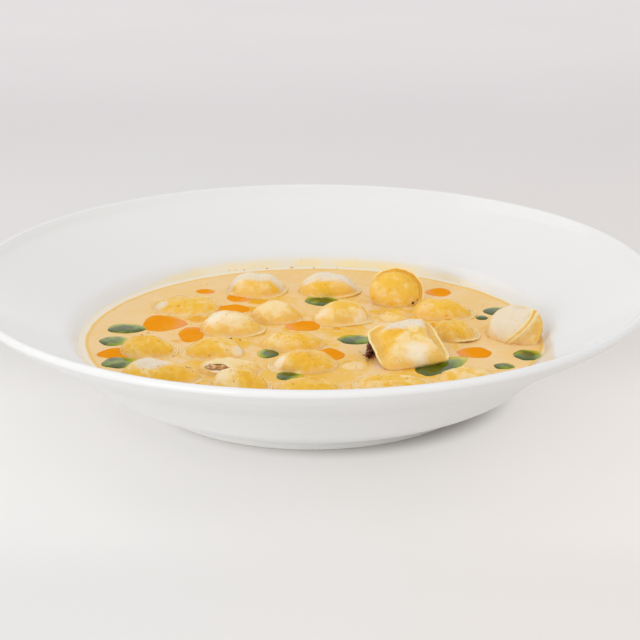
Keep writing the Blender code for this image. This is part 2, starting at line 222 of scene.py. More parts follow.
def srgb(red, green, blue):
    """A colour given from 0 to 255, as the shader wants it."""
    linear = []
    for part in (red / 255.0, green / 255.0, blue / 255.0):
        linear.append(part / 12.92 if part < 0.04 else ((part + 0.055) / 1.055) ** 2.4)
    return (*linear, 1.0)


def coordinates(tree):
    return tree.nodes.new("ShaderNodeTexCoord").outputs["Object"]


def separate(tree, vector):
    node = tree.nodes.new("ShaderNodeSeparateXYZ")
    tree.links.new(vector, node.inputs["Vector"])
    return node.outputs


CLOUD_INPUTS = ("Place", "Blotches", "Detail", "Distortion")
MM_PER_METRE = 1000.0


def new_group(name, inputs, output):
    """A group of nodes with named inputs and one output, and the two ends to link to."""
    group = bpy.data.node_groups.new(name, "ShaderNodeTree")
    for title in inputs:
        kind = "NodeSocketVector" if title == "Place" else "NodeSocketFloat"
        group.interface.new_socket(title, in_out="INPUT", socket_type=kind)
    group.interface.new_socket(output, in_out="OUTPUT", socket_type="NodeSocketFloat")
    start = group.nodes.new("NodeGroupInput")
    end = group.nodes.new("NodeGroupOutput")
    return group, start.outputs, end.inputs[output]


def placed(tree, group, **values):
    """A group set into a material, with a socket or a number of its own for each input."""
    node = tree.nodes.new("ShaderNodeGroup")
    node.node_tree = group
    for name, value in values.items():
        socket = node.inputs[name.capitalize()]
        if isinstance(value, (int, float)):
            socket.default_value = value
        else:
            tree.links.new(value, socket)
    return node.outputs[0]


def soft_clouds():
    """The blotches that every finish has: soft noise from 0 to 1, so many of them to a metre."""
    group, given, cloud = new_group("soft_clouds", CLOUD_INPUTS, "Cloud")
    texture = group.nodes.new("ShaderNodeTexNoise")
    group.links.new(given["Place"], texture.inputs["Vector"])
    group.links.new(given["Blotches"], texture.inputs["Scale"])
    group.links.new(given["Detail"], texture.inputs["Detail"])
    group.links.new(given["Distortion"], texture.inputs["Distortion"])
    group.links.new(texture.outputs["Fac"], cloud)
    return group


cloud_group = soft_clouds()


def cloudy(tree, where, size, detail=3.0, distortion=0.0):
    """Soft noise whose blotches are about the given size in millimetres."""
    blotches = MM_PER_METRE / size
    return placed(
        tree, cloud_group, place=where, blotches=blotches, detail=detail, distortion=distortion
    )


def reckon(tree, operation, first, second=0.5, third=0.5):
    """One sum on two or three values, each a socket or a number."""
    node = tree.nodes.new("ShaderNodeMath")
    node.operation = operation
    for index, value in enumerate((first, second, third)):
        if isinstance(value, (int, float)):
            node.inputs[index].default_value = value
        else:
            tree.links.new(value, node.inputs[index])
    return node.outputs[0]


def between(tree, value, low, high, start=0.0, end=1.0):
    """A smooth step: start where the value is low, and end where it is high."""
    node = tree.nodes.new("ShaderNodeMapRange")
    node.interpolation_type = "SMOOTHSTEP"
    node.inputs["From Min"].default_value = low
    node.inputs["From Max"].default_value = high
    node.inputs["To Min"].default_value = start
    node.inputs["To Max"].default_value = end
    tree.links.new(value, node.inputs["Value"])
    return node.outputs["Result"]


def blend_colours(tree, share, first, second):
    """Mix two colours, each a socket or a colour, by a share from 0 to 1."""
    node = tree.nodes.new("ShaderNodeMix")
    node.data_type = "RGBA"
    tree.links.new(share, node.inputs["Factor"])
    for socket, colour in ((node.inputs[6], first), (node.inputs[7], second)):
        if isinstance(colour, tuple):
            socket.default_value = colour
        else:
            tree.links.new(colour, socket)
    return node.outputs[2]


def length_of(tree, x, y, middle_x=0.0, middle_y=0.0):
    """How far a place is from a middle, seen from above."""
    across = reckon(tree, "POWER", reckon(tree, "SUBTRACT", x, middle_x), 2.0)
    along = reckon(tree, "POWER", reckon(tree, "SUBTRACT", y, middle_y), 2.0)
    return reckon(tree, "SQRT", reckon(tree, "ADD", across, along))


def raised(tree, shader, height, distance, strength=1.0):
    """Bump the surface by a height from 0 to 1 that stands for the distance in millimetres."""
    node = tree.nodes.new("ShaderNodeBump")
    node.inputs["Strength"].default_value = strength
    node.inputs["Distance"].default_value = distance * MM
    tree.links.new(height, node.inputs["Height"])
    tree.links.new(node.outputs["Normal"], shader.inputs["Normal"])


SOUP_LEVEL = 25.2 * MM
SOUP_RADIUS = 101.8 * MM
GLAZE_WHITE = srgb(230, 230, 229)
GLAZE_COOL = srgb(227, 228, 228)
BARE_FOOT = srgb(226, 221, 211)
FILM_YELLOW = srgb(246, 222, 150)
FILM_DEEP = srgb(226, 176, 66)
FILM_BACK = (55.0 * MM, 98.0 * MM)
FILM_HEIGHT = 1.2 * MM
FILM_HIGHER_AT_BACK = 3.6 * MM
FILM_LOW_EDGE = (SOUP_LEVEL - 2.0 * MM, SOUP_LEVEL - 1.0 * MM)
FILM_OUTER_EDGE = (SOUP_RADIUS + 3.5 * MM, SOUP_RADIUS + 4.5 * MM)
BARE_EDGE = (0.3 * MM, 0.7 * MM)


def glazed_porcelain():
    finish, tree, shader = new_finish("glazed_porcelain")
    where = coordinates(tree)
    x, y, z = separate(tree, where)
    base = blend_colours(tree, cloudy(tree, where, 60.0), GLAZE_WHITE, GLAZE_COOL)
    # The fat's film lies in a thin band on the wall, widest at the back.
    reach = length_of(tree, x, y)
    patches = cloudy(tree, where, 16.0, 4.0, 0.8)
    at_back = between(tree, y, *FILM_BACK)
    height = reckon(tree, "MULTIPLY_ADD", at_back, FILM_HIGHER_AT_BACK, FILM_HEIGHT)
    above = reckon(tree, "DIVIDE", reckon(tree, "SUBTRACT", z, SOUP_LEVEL), height)
    fade = between(tree, above, 0.35, 1.1, 1.0, 0.0)
    inside = between(tree, z, *FILM_LOW_EDGE)
    on_wall = between(tree, reach, *FILM_OUTER_EDGE, 1.0, 0.0)
    film = reckon(tree, "MULTIPLY", fade, reckon(tree, "MULTIPLY", on_wall, inside))
    strong = reckon(tree, "MULTIPLY_ADD", at_back, 0.7, 0.3)
    film = reckon(tree, "MULTIPLY", film, strong)
    film = reckon(tree, "MULTIPLY", film, between(tree, patches, 0.30, 0.60, 0.45, 1.0))
    base = blend_colours(tree, reckon(tree, "MULTIPLY", film, 0.75), base, FILM_YELLOW)
    beads = between(tree, cloudy(tree, where, 2.4, 2.0), 0.66, 0.74)
    base = blend_colours(tree, reckon(tree, "MULTIPLY", film, beads), base, FILM_DEEP)
    bare = between(tree, z, *BARE_EDGE, 1.0, 0.0)
    base = blend_colours(tree, bare, base, BARE_FOOT)
    tree.links.new(base, shader.inputs["Base Color"])
    # The glaze is thinner and duller underneath, and the foot's edge has none.
    shine = between(tree, cloudy(tree, where, 25.0), 0.3, 0.7, 0.10, 0.16)
    facing = separate(tree, tree.nodes.new("ShaderNodeNewGeometry").outputs["Normal"])[2]
    dull = reckon(tree, "ADD", between(tree, facing, -0.30, -0.10, 0.35, 0.0), shine)
    rough = reckon(tree, "MULTIPLY_ADD", bare, 0.3, dull)
    tree.links.new(rough, shader.inputs["Roughness"])
    shader.inputs["IOR"].default_value = 1.5
    return finish


plate = thrown("porcelain_plate", plate_profile(), PLATE_SIDES)
dressed(plate, glazed_porcelain(), ["bowl"])

# The dumplings: discs of rolled dough, each folded over a spoon of minced filling and pinched
# shut along a thin flat hem. Boiled soft, they float in the soup with their domes wet and
# oily. Greyish white patches are painted on their tops, partly dry dough that the soup hasn't
# touched and partly a painted reflection of the pale room, and wet spots get a painted highlight.
Dumpling = namedtuple(
    "Dumpling",
    "number x y length width rise sink lift spin tip lean turn hem hem_at hem_span square",
)

DUMPLINGS = {
    dumpling.number: dumpling
    for dumpling in (
        Dumpling(1, -26, 64, 30, 25, 8.6, 7, 0.2, 0, 0, 0, 0, 2.4, 70, 330, 2.1),
        Dumpling(2, 8.5, 64, 30, 25, 8.4, 7, 0.2, 0, 0, 0, 0, 2.4, 20, 330, 2.1),
        Dumpling(3, 39, 48, 25, 24, 6.5, 6, 4.6, 0, 50, 6, 0, 2.6, 50, 230, 2.1),
        Dumpling(4, -58, 39, 33, 28, 6.6, 8, -0.4, -4, 0, 0, 0, 3.0, 180, 220, 2.2),
        Dumpling(5, -35, 7, 29, 23, 8.2, 7, -0.1, -10, 0, 0, 0, 3.0, -30, 190, 2.2),
        Dumpling(6, -15.5, 24, 25, 20, 7.6, 7, -0.3, 0, 0, 0, 0, 2.2, 0, 150, 2.1),
        Dumpling(7, 14, 22, 28, 22, 7.9, 7, 0.1, 12, 0, 0, 0, 3.0, -40, 190, 2.3),
        Dumpling(8, 60, 29, 29, 20, 7.2, 7, 0.0, -6, 0, 0, 0, 2.8, 30, 200, 2.2),
        Dumpling(9, 41.5, -30, 31, 30, 6.6, 7, 6.0, 16, 20, 0, 0, 3.8, 165, 130, 5.0),
        Dumpling(10, 63.5, -1, 22, 20, 7.2, 7, 0.2, -10, 0, 0, 0, 3.4, 0, 200, 2.4),
        Dumpling(11, 89, -3, 27, 24, 6.0, 9, 3.6, 0, 50, 0, -38, 2.0, 90, 60, 2.2),
        Dumpling(12, -70, -22, 26, 20, 6.9, 7, -0.1, -4, 0, 0, 0, 2.6, -10, 190, 2.2),
        Dumpling(13, -62, -54, 36, 23, 7.4, 7, -0.3, -8, 0, 0, 0, 3.0, 10, 200, 2.2),
        Dumpling(14, -43, -24, 28, 21, 6.6, 7, -0.2, 0, 0, 0, 0, 3.4, 195, 210, 2.2),
        Dumpling(15, -34, -46, 28, 18, 6.2, 7, -0.4, -4, 0, 0, 0, 2.2, 0, 140, 2.2),
        Dumpling(16, -28.5, -67.5, 26, 21, 7.9, 7, -0.1, 0, 0, 0, 0, 2.6, 0, 160, 2.2),
        Dumpling(17, -7, -14, 30, 20, 6.4, 7, -0.2, -4, 0, 0, 0, 2.8, 10, 190, 2.2),
        Dumpling(18, -3.5, -41, 31, 21, 7.0, 7, -0.1, 4, 0, 0, 0, 3.2, 175, 200, 2.3),
        Dumpling(19, 0, -72, 29, 21, 7.2, 7, -0.2, 0, 0, 0, 0, 2.8, 20, 180, 2.2),
        Dumpling(20, 33, -64, 34, 22, 4.8, 8, 0.2, 0, 0, 0, 0, 3.6, 90, 330, 2.5),
        Dumpling(21, 65.5, -54, 27, 20, 5.4, 6.5, -0.8, 12, 0, 0, 0, 2.0, 0, 100, 2.2),
        Dumpling(22, 37.5, 24.5, 15, 15, 6.2, 7, -0.6, 0, 0, 0, 0, 2.0, 0, 100, 2.1),
        Dumpling(23, 18, -40, 12, 14, 3.4, 7, -0.8, 0, 0, 0, 0, 1.6, 0, 100, 2.1),
    )
}

# Where melted butter lies on each dumpling, and where its dough is painted pale, partly as dry
# dough and partly as a painted reflection of the pale room: how far to the right and to the
# back of its middle, how far it spreads, in millimetres, and how strong it is.
BUTTER = {
    1: ((0, -6, 6, 0.85), (8, -6, 4, 0.75)),
    2: ((-2, -7, 7, 0.85), (8, -6, 4, 0.6)),
    3: ((6, 5, 9, 1.6), (0, -2, 10, 0.95)),
    4: ((0, 0, 18, 0.95),),
    5: ((4, 3, 6, 0.6), (9, -3, 4, 0.6)),
    6: ((-7, 5, 5, 0.6), (9, -1, 5, 0.8)),
    7: ((0, 2, 10, 0.85), (-8, 2, 5, 0.6)),
    8: ((0, 2, 12, 1.1), (9, -3, 5, 0.8)),
    9: ((-6, 1, 5, 1.5), (6, 0, 6, 0.8), (-10, -5, 5, 0.8), (12, 3, 5, 1.0), (2, -6, 4, 0.6)),
    10: ((-1, 0, 9, 1.1), (-8, 1, 4, 1.2)),
    11: ((-11, -7, 3, 0.8), (9, 3, 3, 0.4)),
    12: ((0, 1, 12, 1.0), (-4, 2, 5, 1.2)),
    13: ((8, -2, 10, 1.1), (-13, -5, 8, 0.95), (0, -8, 6, 0.9)),
    14: ((-3, 1, 12, 0.95), (8, 1, 6, 0.8)),
    15: ((-3, 6, 6, 0.6), (9, 0, 5, 0.6)),
    16: ((4, -3, 7, 1.1), (9, 3, 5, 0.6)),
    17: ((2, 0, 10, 1.2), (-10, 1, 4, 0.6)),
    18: ((3, 0, 10, 1.2), (11, -4, 5, 0.9)),
    19: ((1, 0, 13, 1.15),),
    20: ((-4, 1, 9, 0.85), (9, -3, 8, 0.8)),
    21: ((0, 1, 8, 0.7), (-9, -4, 4, 1.1)),
    22: ((0, 0, 7, 0.7),),
    23: ((2, 0, 6, 0.5),),
}
DRY_SHEEN = {
    1: ((0, 2, 10, 1.2), (-8, 0, 7, 1.0), (8, 0, 7, 1.0)),
    2: ((0, 2, 10, 1.2), (-7, 0, 7, 1.0), (8, 0, 7, 1.0)),
    3: ((-6, 8, 4, 0.5),),
    4: ((-11, -4, 4, 0.8),),
    6: ((0, 4, 5, 0.4),),
    9: ((-4, 7, 7, 1.0), (2, 7, 6, 0.9)),
    11: ((0, 1, 12, 1.0),),
    13: ((-4, 1, 8, 1.0), (-9, 3, 5, 0.8)),
    14: ((13, -3, 3, 0.8),),
}

# Where a painted highlight lies on the dough: pale wet spots, coloured like a milky film.
WET_GLINT = {
    1: ((-2, -12, 5, 0.45),),
    5: ((-8, -1, 6, 0.9), (0, -4, 6, 0.7)),
    7: ((10, -7, 6, 0.95), (-9, -4, 5, 0.7)),
    8: ((-9, -4, 5, 0.5),),
    9: ((3, -11, 6, 0.9), (-13, -2, 4, 0.5)),
    14: ((12, -5, 4, 0.8),),
    15: ((8, 2, 4, 0.6),),
    16: ((-7, -2, 7, 0.6),),
    17: ((-4, -5, 7, 0.5),),
    18: ((-12, -3, 5, 1.0),),
}
# How clearly a hem stands out of the soup; the others lie just awash.
CLEAR_HEM = {3: 0.8, 5: 0.6, 8: 0.3, 9: 1.0, 10: 0.9, 11: 1.0, 13: 0.3, 14: 0.4}
AWASH = 0.28
# How much higher a dumpling's right side stands than its left.
LOPSIDED = {2: -0.05, 7: 0.30, 8: -0.15, 10: -0.18, 13: -0.10, 16: -0.10, 18: -0.28}
# How much of its height a dumpling keeps that lies deeper in the soup.
SUNKEN = {4: 0.78, 15: 0.9, 19: 0.86, 20: 0.62, 21: 0.78, 22: 0.5, 23: 0.45}

PARCEL = 9
PARCEL_FLAP = 2.6
HEM_HALF = 0.6
HEM_CURL = 0.7
SHOWN_HEM = 0.8
HEM_FADE = 35.0
HEM_WAVE = 0.5
EDGE_STEP = 0.10
FLAT_STEP = 0.36
CHANNEL = 0.45
LIP_GROOVE = 0.22
SWELL = 0.86
BELLY_SHIFT = 0.08
BELLY_STEP = 0.25
UNEVENNESS = 0.06
WALL_MARGIN = 1.5 * MM
DOUGH_SIDES = 96
DOUGH_RINGS = 60
DOME = 1.28
DOME_SIDE = 0.92
FLAP_CORNER = 0.60
FLAP_CORNER_WIDTH = 0.25
FLAP_SIDE = 0.62
FLAP_SIDE_WIDTH = 0.16
EDGE_UNEVEN = 0.055
EDGE_NICK = 0.35
GROOVE_AT = 0.30
GROOVE_WIDTH = 0.12
GROOVE_SHADE_STRENGTH = 1.3
BAND_EDGE = (0.15, 0.25)
CHANNEL_AT = 0.75
CHANNEL_WIDTH = 0.28
CREASE_HEIGHT = 0.20
CREASE_AT = 0.04
CREASE_WIDTH = 0.16
CREASES = (13.0, 21.0)
LUMP_HEIGHT = 0.75
LUMP_SIZE = 6.5
FINE_LUMP_HEIGHT = 0.28
FINE_LUMP_SIZE = 2.6
HEM_FLUTTER = 0.35
PATCH_FLATNESS = 1.15


def hem_share(dumpling, angle):
    """How much of the hem stands at this angle: 1 along its middle, fading to 0 at its ends."""
    away = abs((degrees(angle) - dumpling.hem_at + 180.0) % 360.0 - 180.0)
    share = min(max((dumpling.hem_span / 2.0 - away) / HEM_FADE, 0.0), 1.0)
    if dumpling.hem_span >= 360.0:
        share = 1.0
    if dumpling.number == PARCEL:
        corner = (cos(angle) - FLAP_CORNER) / FLAP_CORNER_WIDTH
        share = max(share, min(max(corner, 0.0), 1.0))
    return share * share * (3.0 - 2.0 * share)


def hem_width(dumpling, angle):
    """How broad the hem is; the square parcel's right side has the broadest."""
    width = SHOWN_HEM * dumpling.hem
    if dumpling.number == PARCEL:
        side = min(max((cos(angle) - FLAP_SIDE) / FLAP_SIDE_WIDTH, 0.0), 1.0)
        width = dumpling.hem + PARCEL_FLAP * side
    return width


def outline_radius(dumpling, angle):
    """How far the dumpling's edge is from its middle, a little uneven as rolled dough is."""
    power = dumpling.square
    side = (abs(cos(angle)) / (dumpling.length / 2.0)) ** power
    side += (abs(sin(angle)) / (dumpling.width / 2.0)) ** power
    seed = 3.1 * dumpling.number
    uneven = noise.noise(Vector((1.4 * cos(angle), 1.4 * sin(angle), seed)))
    nick = noise.noise(Vector((5.0 * cos(angle), 5.0 * sin(angle), seed)))
    return side ** (-1.0 / power) * (1.0 + EDGE_UNEVEN * uneven) + EDGE_NICK * nick


def hump(value, middle, width):
    """1 where the value is at the middle, falling softly to 0 on both sides."""
    return exp(-(((value - middle) / width) ** 2))


def skin_section(outline, height, hem, share, step):
    """Radius and height of the skin, from step 0 on the outline to step 1 at the pole."""
    bulge = radians(90.0 * step)
    round_radius = outline * cos(bulge) ** DOME_SIDE
    round_height = height * sin(bulge) ** DOME
    if step < EDGE_STEP:
        turn = radians(90.0 * step / EDGE_STEP)
        hem_radius = outline - HEM_HALF * (1.0 - cos(turn))
        hem_height = HEM_HALF * sin(turn)
    elif step < FLAT_STEP:
        along = (step - EDGE_STEP) / (FLAT_STEP - EDGE_STEP)
        hem_radius = outline - HEM_HALF - (hem - HEM_HALF) * along
        hem_height = HEM_HALF * (1.0 - CHANNEL * sin(pi * along))
        hem_height -= LIP_GROOVE * hump(along, GROOVE_AT, GROOVE_WIDTH)
    else:
        swell = radians(90.0 * (step - FLAT_STEP) / (1.0 - FLAT_STEP))
        hem_radius = (outline - hem) * max(cos(swell), 0.0) ** SWELL
        hem_height = HEM_HALF + (height - HEM_HALF) * sin(swell) ** DOME
    radius = round_radius + (hem_radius - round_radius) * share
    return radius, round_height + (hem_height - round_height) * share


def dough_place(dumpling):
    """Where a dumpling floats and how it is tipped, leant and turned."""
    height = SOUP_LEVEL + dumpling.lift * MM
    return (
        Matrix.Translation((dumpling.x * MM, dumpling.y * MM, height))
        @ Matrix.Rotation(radians(dumpling.turn), 4, "Z")
        @ Matrix.Rotation(radians(dumpling.tip), 4, "X")
        @ Matrix.Rotation(radians(dumpling.lean), 4, "Y")
        @ Matrix.Rotation(radians(dumpling.spin), 4, "Z")
        @ Matrix.Scale(MM, 4)
    )


def inside_well(point):
    """Press a point of soft dough away from the well's wall and floor."""
    x, y, z = point
    z = max(z, FLOOR_HEIGHT + WALL_MARGIN)
    depth = min(max((WELL_CENTRE[1] - z) / WELL_DEPTH, 0.0), 1.0)
    wall = WELL_CENTRE[0] + WELL_WIDTH * sqrt(1.0 - depth * depth) - WALL_MARGIN
    radius = hypot(x, y)
    if radius > wall:
        x *= wall / radius
        y *= wall / radius
    return Vector((x, y, z))


def patch_strength(patches, x, y):
    """How strongly any of a dumpling's patches reaches this place on it."""
    strongest = 0.0
    for right, back, reach, strength in patches:
        away = hypot(x - right, (y - back) * PATCH_FLATNESS) / reach
        strongest = max(strongest, strength * max(0.0, 1.0 - 0.5 * away * away))
    return strongest


def crease(dumpling, angle, step, share):
    """The small folds that the pinching leaves at the foot of the belly, in millimetres."""
    seed = 5.7 * dumpling.number
    wander = 2.5 * noise.noise(Vector((2.0 * cos(angle), 2.0 * sin(angle), seed)))
    fold = sin(CREASES[0] * angle + wander + seed) * 0.5
    fold += 0.5 * sin(CREASES[1] * angle - 2.0 * wander)
    close = hump(step - FLAT_STEP, CREASE_AT, CREASE_WIDTH)
    return CREASE_HEIGHT * share * close * fold


def pinched_dumpling(dumpling, shape_more=None, finer=1):
    """A dumpling where it floats, with its butter, hem, dry dough and painted sheen, glint and shade.
    """
    deselect_all()
    sides, rings = DOUGH_SIDES * finer, DOUGH_RINGS * finer
    bpy.ops.mesh.primitive_uv_sphere_add(segments=sides, ring_count=rings, radius=1.0)
    piece = just_added(f"dough_{dumpling.number:02d}")
    place = dough_place(dumpling)
    seed = 7.3 * dumpling.number
    phase = 1.7 * dumpling.number
    count = len(piece.data.vertices)
    butter, dry_sheen, milk_and_glint = [0.0] * count, [0.0] * count, [0.0] * count
    hem_and_groove_shade, belly_share = [0.0] * count, [0.0] * count
    for vert in piece.data.vertices:
        latitude = degrees(asin(min(max(vert.co.z, -1.0), 1.0)))
        angle = atan2(vert.co.y, vert.co.x)
        step = abs(latitude) / 90.0
        share = hem_share(dumpling, angle)
        outline = outline_radius(dumpling, angle)
        height = dumpling.sink
        if latitude > 0.0:
            height = dumpling.rise * SUNKEN.get(dumpling.number, 1.0)
        radius, rise = skin_section(outline, height, hem_width(dumpling, angle), share, step)
        rise *= 1.0 + UNEVENNESS * sin(2.0 * angle + phase) * radius / outline
        rise *= 1.0 + LOPSIDED.get(dumpling.number, 0.0) * radius * cos(angle) * 2.0 / dumpling.length
        # The filling shows through as low lumps, and the belly's foot is creased.
        belly = min(max((step - FLAT_STEP * share) / BELLY_STEP, 0.0), 1.0)
        # The belly swells away from the hem.
        lopsided = BELLY_SHIFT * dumpling.length * (1.0 - radius / outline) * belly
        x = radius * cos(angle) - lopsided * cos(radians(dumpling.hem_at))
        y = radius * sin(angle) - lopsided * sin(radians(dumpling.hem_at))
        lumps = LUMP_HEIGHT * noise.noise(Vector((x / LUMP_SIZE, y / LUMP_SIZE, seed)))
        finer_place = Vector((x / FINE_LUMP_SIZE, y / FINE_LUMP_SIZE, seed))
        lumps += FINE_LUMP_HEIGHT * noise.noise(finer_place)
        rise += lumps * belly + crease(dumpling, angle, step, share)
        wave = HEM_WAVE * share * sin(3.0 * angle + phase) * max(0.0, 1.0 - 2.0 * step)
        flutter = noise.noise(Vector((6.0 * cos(angle), 6.0 * sin(angle), seed)))
        wave += HEM_FLUTTER * share * flutter * max(0.0, 1.0 - 2.5 * step)
        clear = CLEAR_HEM.get(dumpling.number, AWASH)
        wave += HEM_CURL * clear * share * max(0.0, 1.0 - step / FLAT_STEP) ** 1.5
        up = rise if latitude > 0.0 else -rise
        point = Vector((x, y, up + wave))
        if shape_more:
            point = shape_more(point, angle, step)
        settled = inside_well(place @ point)
        vert.co = settled
        right = settled.x / MM - dumpling.x
        back = settled.y / MM - dumpling.y
        butter[vert.index] = patch_strength(BUTTER.get(dumpling.number, ()), right, back)
        dry_sheen[vert.index] = patch_strength(DRY_SHEEN.get(dumpling.number, ()), right, back)
        milk_and_glint[vert.index] = patch_strength(WET_GLINT.get(dumpling.number, ()), right, back)
        belly_share[vert.index] = belly * min(rise / height, 1.0) if latitude > 0.0 else 0.0
        # The hem's band is kept above zero; its channel and groove go below zero, where shade is
        # painted.
        along = (step - EDGE_STEP) / (FLAT_STEP - EDGE_STEP)
        band = 1.0 - min(max((along - BAND_EDGE[0]) / BAND_EDGE[1], 0.0), 1.0)
        channel = hump(along, CHANNEL_AT, CHANNEL_WIDTH)
        groove = hump(along, GROOVE_AT, GROOVE_WIDTH)
        hem_and_groove_shade[vert.index] = clear * share * (band - channel - GROOVE_SHADE_STRENGTH * groove)
    for name, values in (("butter", butter), ("dry_sheen", dry_sheen), ("milk_and_glint", milk_and_glint)):
        keep_values(piece, name, values)
    keep_values(piece, "hem_and_groove_shade", hem_and_groove_shade)
    keep_values(piece, "belly", belly_share)
    bpy.ops.object.shade_smooth()
    return piece


DOUGH_CREAM = srgb(245, 216, 154)
DOUGH_DEEP = srgb(240, 195, 92)
GLINT_CREAM = srgb(250, 234, 206)
DRY_DOUGH_SHEEN = srgb(230, 217, 194)
BUTTER_YELLOW = srgb(240, 188, 34)
BUTTER_DEEP = srgb(234, 174, 0)
SPICE_ORANGE = srgb(200, 110, 0)
SOUP_ON_DOUGH = srgb(246, 208, 142)
HEM_CREAM = srgb(250, 228, 172)
GROOVE_SHADE = srgb(226, 176, 82)


def attribute(tree, name):
    node = tree.nodes.new("ShaderNodeAttribute")
    node.attribute_type = "GEOMETRY"
    node.attribute_name = name
    return node.outputs["Fac"]


def ragged_pools():
    """Butter, fat or milk in pools: how far they reach, with an edge that soft noise tears."""
    group, given, pool = new_group("ragged_pools", (*CLOUD_INPUTS, "Ragged", "Reach"), "Pool")
    clouds = {name.lower(): given[name] for name in CLOUD_INPUTS}
    ragged = reckon(group, "SUBTRACT", placed(group, cloud_group, **clouds), 0.5)
    depth = reckon(group, "MULTIPLY_ADD", ragged, given["Ragged"], given["Reach"])
    group.links.new(depth, pool)
    return group


pool_group = ragged_pools()


def pooled(tree, where, clouds, ragged, reach):
    """How deep a pool is here, with the size, detail and distortion of the clouds at its edge."""
    return placed(
        tree,
        pool_group,
        place=where,
        blotches=MM_PER_METRE / clouds[0],
        detail=clouds[1],
        distortion=clouds[2],
        ragged=ragged,
        reach=reach,
    )


def laid_on(tree, base, colour, depth, low, high, most=1.0):
    """A colour over the base: none where the depth is low, and the most where it is high."""
    return blend_colours(tree, between(tree, depth, low, high, 0.0, most), base, colour)


DOUGH_CLOUDS = (4.0, 6.0, 0.6)
SOAKED_HEIGHT = (SOUP_LEVEL + 0.4 * MM, SOUP_LEVEL + 2.2 * MM)
SOAKED_RAGGED = 2.4 * MM


def wet_dough():
    finish, tree, shader = new_finish("wet_dough")
    where = coordinates(tree)
    mottled = reckon(tree, "MULTIPLY_ADD", cloudy(tree, where, 3.0, 6.0, 0.5), 1.6, -0.80)
    swollen = reckon(tree, "ADD", attribute(tree, "belly"), mottled)
    base = blend_colours(tree, between(tree, swollen, 0.20, 0.90), DOUGH_DEEP, DOUGH_CREAM)
    # Butter lies in ragged pools that thin out at their edges.
    pool = pooled(tree, where, DOUGH_CLOUDS, 1.9, attribute(tree, "butter"))
    base = laid_on(tree, base, BUTTER_YELLOW, pool, 0.22, 0.85, 0.9)
    base = laid_on(tree, base, BUTTER_DEEP, pool, 0.95, 1.30, 0.8)
    # Pale greyish patches on the domes' tops: partly dry dough, partly a painted reflection of the
    # pale room.
    dry_sheen_depth = pooled(tree, where, DOUGH_CLOUDS, 0.5, attribute(tree, "dry_sheen"))
    base = laid_on(tree, base, DRY_DOUGH_SHEEN, dry_sheen_depth, 0.35, 0.78, 0.9)
    milky_and_glint = pooled(tree, where, DOUGH_CLOUDS, 0.9, attribute(tree, "milk_and_glint"))
    # Painted highlights: pale wet spots where the lamps would glint.
    base = laid_on(tree, base, GLINT_CREAM, milky_and_glint, 0.35, 0.95, 0.9)
    line = attribute(tree, "hem_and_groove_shade")
    base = laid_on(tree, base, HEM_CREAM, line, 0.1, 0.7, 0.8)
    # The hem's channel and groove, and the cleft between the half-moon's lips, are painted tan as
    # shade.
    base = laid_on(tree, base, GROOVE_SHADE, line, -0.1, -0.8, 0.6)
    # Ground spice is strewn in the butter as fine orange dots.
    dots = between(tree, cloudy(tree, where, 1.1, 1.0), 0.68, 0.74)
    spice = reckon(tree, "MULTIPLY", dots, between(tree, pool, 0.4, 0.9))
    base = blend_colours(tree, reckon(tree, "MULTIPLY", spice, 0.55), base, SPICE_ORANGE)
    # The soup wets the foot of each dumpling.
    height = pooled(tree, where, DOUGH_CLOUDS, SOAKED_RAGGED, separate(tree, where)[2])
    foot = between(tree, height, *SOAKED_HEIGHT, 0.85, 0.0)
    base = blend_colours(tree, foot, base, SOUP_ON_DOUGH)
    tree.links.new(base, shader.inputs["Base Color"])
    rough = between(tree, pool, 0.3, 0.9, 0.34, 0.16)
    tree.links.new(rough, shader.inputs["Roughness"])
    shader.inputs["IOR"].default_value = 1.42
    shader.inputs["Specular IOR Level"].default_value = 0.35
    shader.inputs["Subsurface Weight"].default_value = 0.35
    shader.inputs["Subsurface Radius"].default_value = (1.0, 0.7, 0.35)
    shader.inputs["Subsurface Scale"].default_value = 2.4 * MM
    shader.inputs["Coat Weight"].default_value = 0.08
    shader.inputs["Coat Roughness"].default_value = 0.12
    broad = reckon(tree, "MULTIPLY", cloudy(tree, where, 5.0, 2.0), 2.0)
    pores = reckon(tree, "ADD", cloudy(tree, where, 1.6, 3.0), broad)
    raised(tree, shader, pores, 0.22)
    return finish


dough_finish = wet_dough()
SPECIAL_DUMPLINGS = (9, 11, 15, 20)
dumpling_pieces = {}
for dumpling in DUMPLINGS.values():
    if dumpling.number not in SPECIAL_DUMPLINGS:
        piece = pinched_dumpling(dumpling)
        dressed(piece, dough_finish, [f"dumpling_{dumpling.number:02d}"])
        dumpling_pieces[dumpling.number] = piece

# The square parcel: the largest dumpling, cut square and pinched on all four sides, lies tipped
# on its neighbours. Its broad right hem has gone limp and hangs down towards the soup.
DROOP = 3.2
DROOP_LIMIT = 1.2
DROOP_CURVE = 1.6


def limp_right_hem(point, angle, step):
    """Bend the right side's flat hem downwards, most at its outer edge."""
    flap = DUMPLINGS[PARCEL].hem + PARCEL_FLAP
    inner = DUMPLINGS[PARCEL].length / 2.0 - flap
    out = max(0.0, (point.x - inner) / flap)
    point.z -= DROOP * min(out, DROOP_LIMIT) ** DROOP_CURVE
    return point


piece = pinched_dumpling(DUMPLINGS[PARCEL], limp_right_hem)
dressed(piece, dough_finish, ["dumpling_09"])
dumpling_pieces[PARCEL] = piece

# The flat fold in front: a half-empty piece whose dough has slipped into low, layered pleats.
FLAT_FOLD = 20
PLEAT_HEIGHT = 0.75
PLEAT_CLOSENESS = 1.15
PLEAT_SLANT = 0.10
PLEAT_START = 0.8
PLEAT_REACH = 18.0


